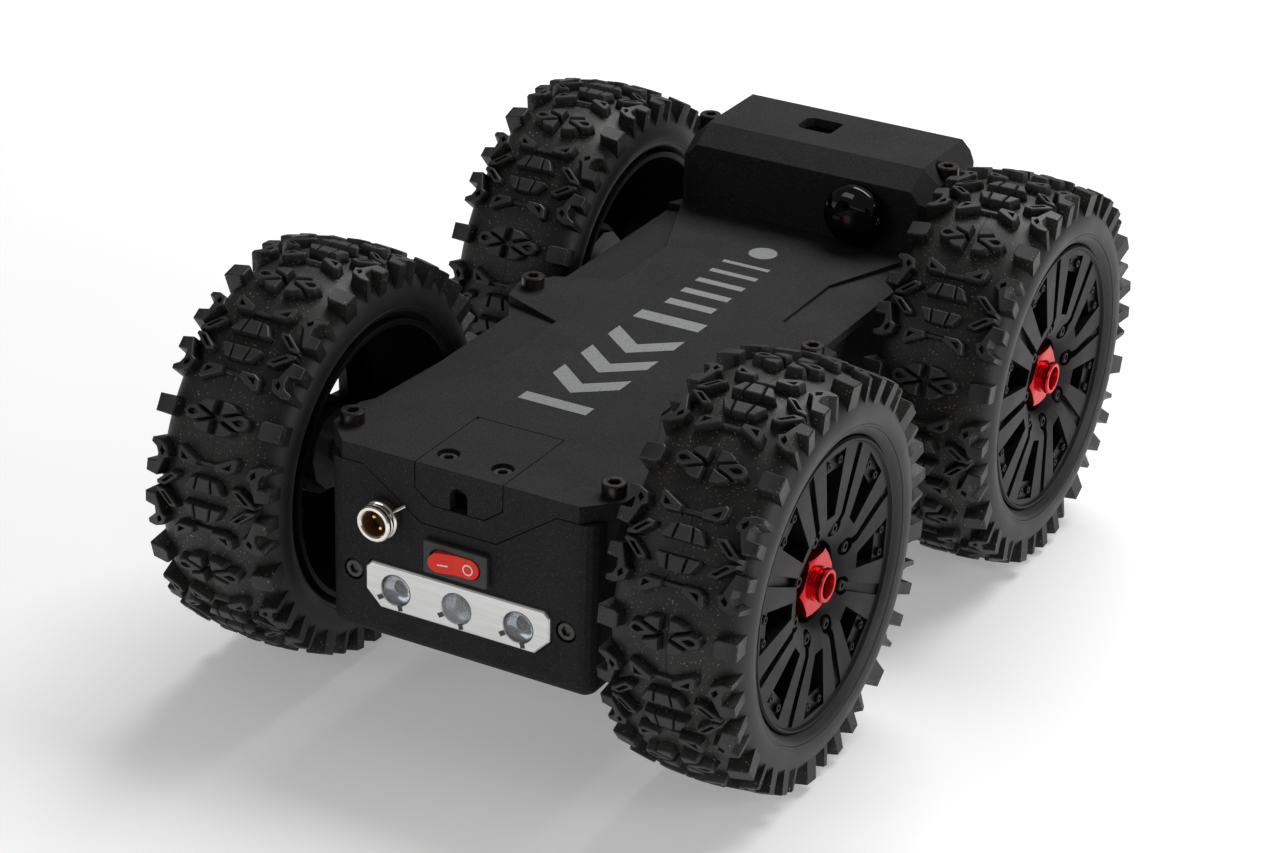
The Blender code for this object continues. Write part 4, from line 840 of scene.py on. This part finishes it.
BAR_FACE, BAR_BACK, WALL_FACE = 0.1218, 0.1199, 0.1208      # distances in front of the origin
BAR_LOW_CORNER, BAR_HIGH_CORNER, BAR_EDGE = 0.0048, 0.0018, 0.0004
LENS_RADIUS = 0.0046
LAMP_X, LAMP_Z = 0.0197, 0.0471
LAMPS = {"left": -LAMP_X, "middle": 0, "right": LAMP_X}
TABS_MM = ((-5.0, -3.2), (1.4, -5.1))                       # clips around each lens
TAB_HALF_LONG, TAB_HALF_WIDE = 0.0009, 0.0007


def lamp_bar_mesh(mat):
    """Bar with chamfered corners, a chamfered front edge and three holes."""
    low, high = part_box("lamp_bar")
    half, big, small = high.x, BAR_LOW_CORNER, BAR_HIGH_CORNER
    outline = [(-half + big, low.z), (half - big, low.z), (half, low.z + big), (half, high.z - small),
               (half - small, high.z), (-half + small, high.z), (-half, high.z - small), (-half, low.z + big)]
    bm = loft(((outline, -BAR_BACK), (outline, BAR_EDGE - BAR_FACE), (offset(outline, -BAR_EDGE), -BAR_FACE)),
              "Y")
    for x in LAMPS.values():
        hole = turned([(0, BAR_BACK - 0.001), (LENS_RADIUS + 0.0001, BAR_BACK - 0.001),
                       (LENS_RADIUS + 0.0001, BAR_FACE - 0.0002), (LENS_RADIUS + 0.0006, BAR_FACE + 0.0003),
                       (0, BAR_FACE + 0.0003)], 48)
        bm = boolean(bm, facing_front(hole, x, LAMP_Z))
    mesh = to_mesh(bm, "lamp_bar_body", 25)
    mesh.materials.append(mat)
    return mesh


def add_lamp(mats, x, word):
    """Lens, reflector bowl, light source and two clips of one lamp."""
    lens = turned([(0, 0.1203), (LENS_RADIUS, 0.1203), (LENS_RADIUS, 0.1218), (0.0043, 0.1221),
                   (0.0036, 0.1225), (0.0026, 0.1228), (0.0014, 0.12295), (0, 0.1230)], 48)
    bowl = turned([(0, 0.1176), (LENS_RADIUS, 0.1176), (LENS_RADIUS, 0.1202), (0.0043, 0.1202),
                   (0.0040, 0.1194), (0.0033, 0.1187), (0.0024, 0.1183), (0, 0.1182)], 48)
    source = turned([(0, 0.1181), (0.0017, 0.1181), (0.0017, 0.1190), (0.0012, 0.1194), (0, 0.1195)], 32)
    glass = mats["wavy_glass" if word == "middle" else "lamp_glass"]
    for name, bm, mat, gone in (("lens", lens, glass, [f"lamp_lens_{word}"]),
                                ("bowl", bowl, mats["reflector"], ()),
                                ("source", source, mats["lamp_source"], ())):
        mesh = to_mesh(facing_front(bm, x, LAMP_Z), f"lamp_{name}", 40)
        piece(f"lamp_{name}_{word}_body", mesh, mat, "chassis", gone)
    for i, (dx, dz) in enumerate(TABS_MM):
        a, b = TAB_HALF_LONG, TAB_HALF_WIDE
        tab = prism([(-a, -b), (a, -b), (a, b), (-a, b)], BAR_FACE - 0.0004, BAR_FACE + 0.00012)
        tab.transform(Matrix.Rotation(math.atan2(dz, dx), 4, "X"))
        mesh = to_mesh(facing_front(tab, x + dx * MM, LAMP_Z + dz * MM), "lamp_clip", 40)
        piece(f"lamp_clip_{word}_{i}", mesh, mats["clip_grey"], "chassis")


ROCKER_PIN = (0, -0.1216, 0.0613)
ROCKER_TILT, ROCKER_SLOPE = math.radians(7), math.radians(7)     # at rest, and of each half of its face
ROCKER_HALF, ROCKER_BACK, ROCKER_CREASE, ROCKER_END = 0.0076, 0.0012, -0.0016, -0.00253
MARK_DEPTH = 0.00006


def bezel_mesh(mat):
    """Switch frame with round corners, its body behind the wall, and the rocker's pocket."""
    low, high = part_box("switch_bezel")
    z, half_z, edge = (low.z + high.z) / 2, (high.z - low.z) / 2, 0.0003
    plan = rounded(high.x, half_z, 0.0007, (0, z))
    flange = loft(((plan, -WALL_FACE - 0.0003), (plan, low.y + edge), (offset(plan, -edge), low.y)), "Y")
    back = prism(rounded(0.0095, 0.0043, 0.0004, (0, z), 2), -WALL_FACE - 0.0010, high.y, "Y")
    pocket = rounded(0.0082, 0.0033, 0.0033, (0, z), 10)
    bm = boolean(flange, back, "UNION")
    bm = boolean(bm, prism(pocket, low.y - 0.001, -0.1184, "Y"))
    mesh = to_mesh(bm, "switch_bezel_body", 30)
    mesh.materials.append(mat)
    return mesh


def rocker_mesh(mat):
    """Rocker about its own pin: a shallow V across its front, round at both ends."""
    half, soft, crease = ROCKER_HALF, 0.0006, ROCKER_CREASE - 0.00004
    plan = [(-half, ROCKER_BACK), (half, ROCKER_BACK), (half, ROCKER_END), (soft, crease), (-soft, crease),
            (-half, ROCKER_END)]
    bm = prism(plan, -0.0040, 0.0040, "Z")
    bm = boolean(bm, prism(rounded(half, 0.0030, 0.0030, steps=10), -0.01, 0.01, "Y"), "INTERSECT")
    mesh = to_mesh(bm, "rocker_body", 25)
    mesh.materials.append(mat)
    return mesh


def on_rocker(bm, x, z):
    """Lays a mark on the sloping face of the rocker."""
    slope = ROCKER_SLOPE if x < 0 else -ROCKER_SLOPE
    place = Matrix.Translation((x, ROCKER_CREASE - abs(x) * math.tan(ROCKER_SLOPE), z))
    bm.transform(place @ Matrix.Rotation(slope, 4, "Z"))
    return bm


def add_switch(mats):
    """The switch's frame, and its rocker with the on and off marks."""
    piece("switch_bezel_body", bezel_mesh(mats["switch_grey"]), mats["switch_grey"], "chassis",
          ["switch_bezel"])
    deep, inner, outer = MARK_DEPTH, 0.00125, 0.00165
    bar = prism(rounded(0.0016, 0.00022, 0.0002, steps=2), -deep, deep, "Y")
    ring = turned([(inner, -deep), (outer, -deep), (outer, deep), (inner, deep)], 40)
    marks = (("on_mark", on_rocker(bar, -0.0034, -0.0006)),
             ("off_mark", on_rocker(facing_front(ring, 0, 0), 0.0042, -0.0003)))
    turn = (0, 0, ROCKER_TILT)
    piece("rocker_switch_body", rocker_mesh(mats["switch_red"]), mats["switch_red"], "rocker",
          ["rocker_switch"], ROCKER_PIN, turn)
    for name, bm in marks:
        piece(f"rocker_{name}", to_mesh(bm, name, 30), mats["white_mark"], "rocker", (),
              ROCKER_PIN, turn)


PIN_X, PIN_HIGH, PIN_LOW = 0.00105, 0.0012, -0.0018       # of the two contacts, from the socket's axis


def add_socket(mats):
    """The threaded socket with its insert, liner, two contacts and lock screw."""
    low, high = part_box("socket_shell")
    x, z = (low.x + high.x) / 2, (low.z + high.z) / 2
    shell = [(0.0039, 0.1265), (0.0042, 0.1268), (0.0050, 0.1268), (0.00535, 0.12645), (0.00535, 0.1258),
             (0.0051, 0.1256), (0.0051, 0.1252), (0.00535, 0.1250), (0.00535, 0.1246), (0.0048, 0.1243),
             (0.0048, 0.1239), (0.0053, 0.1237), (0.0056, 0.1234), (0.0056, 0.1214), (0.0053, 0.1211),
             (0.0044, 0.1211), (0.0044, 0.1088), (0.0030, 0.1088), (0.0030, 0.1168), (0.0039, 0.1172)]
    insert = [(0, 0.1174), (0.0035, 0.1174), (0.0035, 0.1213), (0.0033, 0.1215), (0, 0.1215)]
    liner = [(0.0036, 0.1216), (0.00389, 0.1216), (0.00389, 0.1262), (0.0037, 0.1262)]
    for name, profile, sides, slot, gone in (
            ("socket_shell_body", shell, 64, "socket_nickel", ["socket_shell"]),
            ("socket_insert_body", insert, 48, "socket_bronze", ["socket_insert"]),
            ("socket_liner", liner, 64, "socket_bronze", ())):
        mesh = to_mesh(facing_front(turned(profile, sides), x, z), name, 30)
        piece(name, mesh, mats[slot], "chassis", gone)
    for word, dx, dz in (("upper", -PIN_X, PIN_HIGH), ("lower", PIN_X, PIN_LOW)):
        pin = turned([(0, 0.1214), (0.0006, 0.1214), (0.0006, 0.1245), (0.0004, 0.1247), (0, 0.1247)], 20)
        mesh = to_mesh(facing_front(pin, x + dx, z + dz), "contact_pin", 40)
        piece(f"socket_contact_{word}", mesh, mats["gold_pin"], "chassis")
    add_lock_screw(mats, x, z)


def add_lock_screw(mats, x, z):
    """A threaded pin that stands out of the socket's flange, up and to one side."""
    root, pitch, turns, end = 0.0054, 0.0004, 9, 0.00905
    thread = [(0, root)]
    for i in range(turns):
        start = root + i * pitch
        thread += [(0.00038, start + 0.00001), (0.00055, start + pitch / 2)]
    thread += [(0.0004, end), (0, end)]
    screw = turned(thread, 20)
    lean = math.atan2(0.6, 0.8)
    screw.transform(Matrix.Translation((x, -0.1214, z)) @ Matrix.Rotation(-lean, 4, "Y"))
    piece("socket_lock_screw", to_mesh(screw, "socket_lock_screw", 40), mats["socket_nickel"], "chassis")


# ------------------------------------------------------- camera, screws and print

def add_camera_lens(mats):
    """Domed wide-angle lens on its own axis, which its material paints rings around."""
    low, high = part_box("camera_dome")
    radius, rise, skirt, stem, edge, steps = 0.0097, 0.0036, 0.0020, 0.0082, 0.0004, 16
    rim_y = 0.0784
    angles = [math.pi / 2 * i / steps for i in range(1, steps + 1)]
    dome = [(0, rise)] + [(radius * math.sin(a), rise * math.cos(a)) for a in angles]
    back = rim_y - high.y
    rest = [(radius, edge - skirt), (radius - edge, -skirt), (stem, -skirt), (stem, back), (0, back)]
    mesh = to_mesh(turned(dome + rest, 96), "camera_lens", 35)
    place = (low.x + high.x) / 2, rim_y, (low.z + high.z) / 2
    piece("camera_dome_body", mesh, mats["camera_glass"], "chassis", ["camera_dome"], place,
          (0, 0, math.radians(-90)))


# Head radius, head height, shank radius, socket radius and length below the head
SCREW_SIZES = {"m4": (0.0035, 0.0038, 0.0020, 0.0018, 0.016), "m3": (0.00275, 0.0016, 0.0015, 0.00145, 0.008)}
SCREW_MATERIALS = {"m4": "black_steel", "m3": "grey_steel"}
SCREW_PLACES = {"front": "m4", "middle": "m4", "rear": "m4", "hatch": "m3", "lamp_bar": "m3"}


def cap_screw(head, height, shank, socket, length):
    """Socket cap screw along +X, with the top of its head at 0."""
    edge = head * 0.10
    bm = turned([(0, -height - length), (shank, -height - length), (shank, -height), (head, -height),
                 (head, -edge), (head - edge, 0), (0, 0)], 48)
    hexagon = loft(((regular(6, socket), -height * 0.62), (regular(6, socket), -0.00025),
                    (regular(6, socket * 1.3), 0.0004)))
    return to_mesh(boolean(bm, hexagon), "cap_screw", 30)


def add_screws(mats):
    """A detailed cap screw in place of each plain one. All but the lamp bar's point down."""
    meshes = {size: cap_screw(*measures) for size, measures in SCREW_SIZES.items()}
    for side in ("left", "right"):
        for place, size in SCREW_PLACES.items():
            node = f"{place}_screw_{side}"
            low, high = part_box(node)
            middle = (low + high) / 2
            if place == "lamp_bar":
                at, turn = (middle.x, low.y, middle.z), (0, 0, math.radians(-90))
            else:
                at, turn = (middle.x, middle.y, high.z), (0, math.radians(-90), 0)
            piece(f"{node}_body", meshes[size], mats[SCREW_MATERIALS[size]], "chassis", [node],
                  at, turn)


# Silver deck marking, front to back: generic bars and chevrons, as (x, y) in millimetres
MARKS_MM = (
    [(-11, -71.5), (11, -71.5), (11, -66.5), (-11, -66.5)],
    [(-11, -52), (0, -61), (11, -52), (11, -45), (0, -54), (-11, -45)],
    [(-11, -36), (0, -45), (11, -36), (11, -29), (0, -38), (-11, -29)],
    [(-11, -20), (0, -29), (11, -20), (11, -13), (0, -22), (-11, -13)],
    [(-11, -5), (11, -5), (11, 1), (-11, 1)],
    [(-8, 9), (8, 9), (8, 13), (-8, 13)],
    [(-8, 19), (8, 19), (8, 22.5), (-8, 22.5)],
    [(-8, 28.5), (8, 28.5), (8, 31.5), (-8, 31.5)],
    [(-8, 37.5), (8, 37.5), (8, 40), (-8, 40)],
    [(-8, 46), (8, 46), (8, 48), (-8, 48)],
)


DECK_TOP, FILM_LOW, FILM_HIGH = 0.0883, 0.00001, 0.00006
DISC_RADIUS, DISC_Y = 0.0045, 0.0585


def add_print(mats):
    """Printed marking, a film that lies on the deck."""
    outlines = [[(x * MM, y * MM) for x, y in outline] for outline in MARKS_MM]
    outlines.append(regular(40, DISC_RADIUS, (0, DISC_Y)))
    film = merged([prism(outline, DECK_TOP + FILM_LOW, DECK_TOP + FILM_HIGH, "Z") for outline in outlines])
    mesh = to_mesh(film, "deck_print", 30)
    piece("deck_print", mesh, mats["silver_print"], "chassis")


# ------------------------------------------------------- stage

CAMERA_PLACE, CAMERA_LENS_MM, SENSOR_MM = (0.4273, -0.8117, 0.4977), 94.96, 36.0
CAMERA_AZIMUTH_DEG, CAMERA_ELEVATION_DEG, CAMERA_ROLL_DEG = 28.32, 25.9, -1.69
# Softboxes aimed at the body's middle: name, place, size and power in watts
SOFTBOXES = (
    ("top_softbox", (0.1, 0.9, 1.4), (1.4, 0.8), 22),
    ("right_softbox", (1.6, 0.0, 0.6), (0.8, 0.8), 7.5),
    ("front_softbox", (-0.9, -1.5, 0.9), (0.9, 0.6), 3.2),
)
LIGHT_TARGET = (0, 0, 0.05)
FLOOR_HALF, FLOOR_GLOW, SKY_STRENGTH = 4.0, 0.27, 0.15


def add_camera():
    """The camera, from its direction around and above the body and its roll."""
    azimuth, elevation, roll = (math.radians(a) for a in (CAMERA_AZIMUTH_DEG, CAMERA_ELEVATION_DEG,
                                                          CAMERA_ROLL_DEG))
    back = Vector((math.sin(azimuth) * math.cos(elevation), -math.cos(azimuth) * math.cos(elevation),
                   math.sin(elevation)))
    right = (-back).cross(Vector((0, 0, 1))).normalized()
    down = (-back).cross(right)
    across = math.cos(roll) * right + math.sin(roll) * down
    up = math.sin(roll) * right - math.cos(roll) * down
    data = bpy.data.cameras.new("camera")
    data.lens = CAMERA_LENS_MM
    data.sensor_width = SENSOR_MM
    camera = bpy.data.objects.new("camera", data)
    bpy.context.scene.collection.objects.link(camera)
    turn = Matrix((across, up, back)).transposed().to_4x4()
    camera.matrix_world = Matrix.Translation(CAMERA_PLACE) @ turn
    bpy.context.scene.camera = camera


def add_light(name, location, size, power):
    data = bpy.data.lights.new(name, "AREA")
    data.shape = "RECTANGLE"
    data.size, data.size_y = size
    data.energy = power
    obj = bpy.data.objects.new(name, data)
    bpy.context.scene.collection.objects.link(obj)
    obj.location = location
    aim = Vector(LIGHT_TARGET) - Vector(location)
    obj.rotation_euler = aim.to_track_quat("-Z", "Y").to_euler()


def add_stage():
    """White floor that glows a little, white surroundings and three softboxes."""
    paint = Paint("floor", (0.93, 0.93, 0.93), 0.6, Emission_Color=(1.0, 1.0, 1.0, 1.0),
                  Emission_Strength=FLOOR_GLOW)
    paint.rough(paint.noise(3, 2.0), 0.55, 0.65)
    bm = bmesh.new()
    bmesh.ops.create_grid(bm, x_segments=1, y_segments=1, size=FLOOR_HALF)
    floor = bpy.data.objects.new("floor", to_mesh(bm, "floor"))
    floor.data.materials.append(paint.mat)
    bpy.context.scene.collection.objects.link(floor)
    world = bpy.data.worlds.new("studio")
    world.use_nodes = True
    sky = world.node_tree.nodes["Background"].inputs
    sky["Color"].default_value = (1.0, 1.0, 1.0, 1.0)
    sky["Strength"].default_value = SKY_STRENGTH
    bpy.context.scene.world = world
    for softbox in SOFTBOXES:
        add_light(*softbox)
    bpy.context.scene.view_settings.view_transform = "Standard"


def main():
    mats = make_materials()
    paint_cad(mats)
    for name in ("chassis_tub", "top_cover", "access_hatch"):
        smooth_cad(name)
    add_wheels(mats)
    piece("lamp_bar_body", lamp_bar_mesh(mats["lamp_aluminium"]), mats["lamp_aluminium"], "chassis",
          ["lamp_bar"])
    for word, x in LAMPS.items():
        add_lamp(mats, x, word)
    add_switch(mats)
    add_socket(mats)
    add_camera_lens(mats)
    add_screws(mats)
    add_print(mats)
    add_camera()
    add_stage()


main()
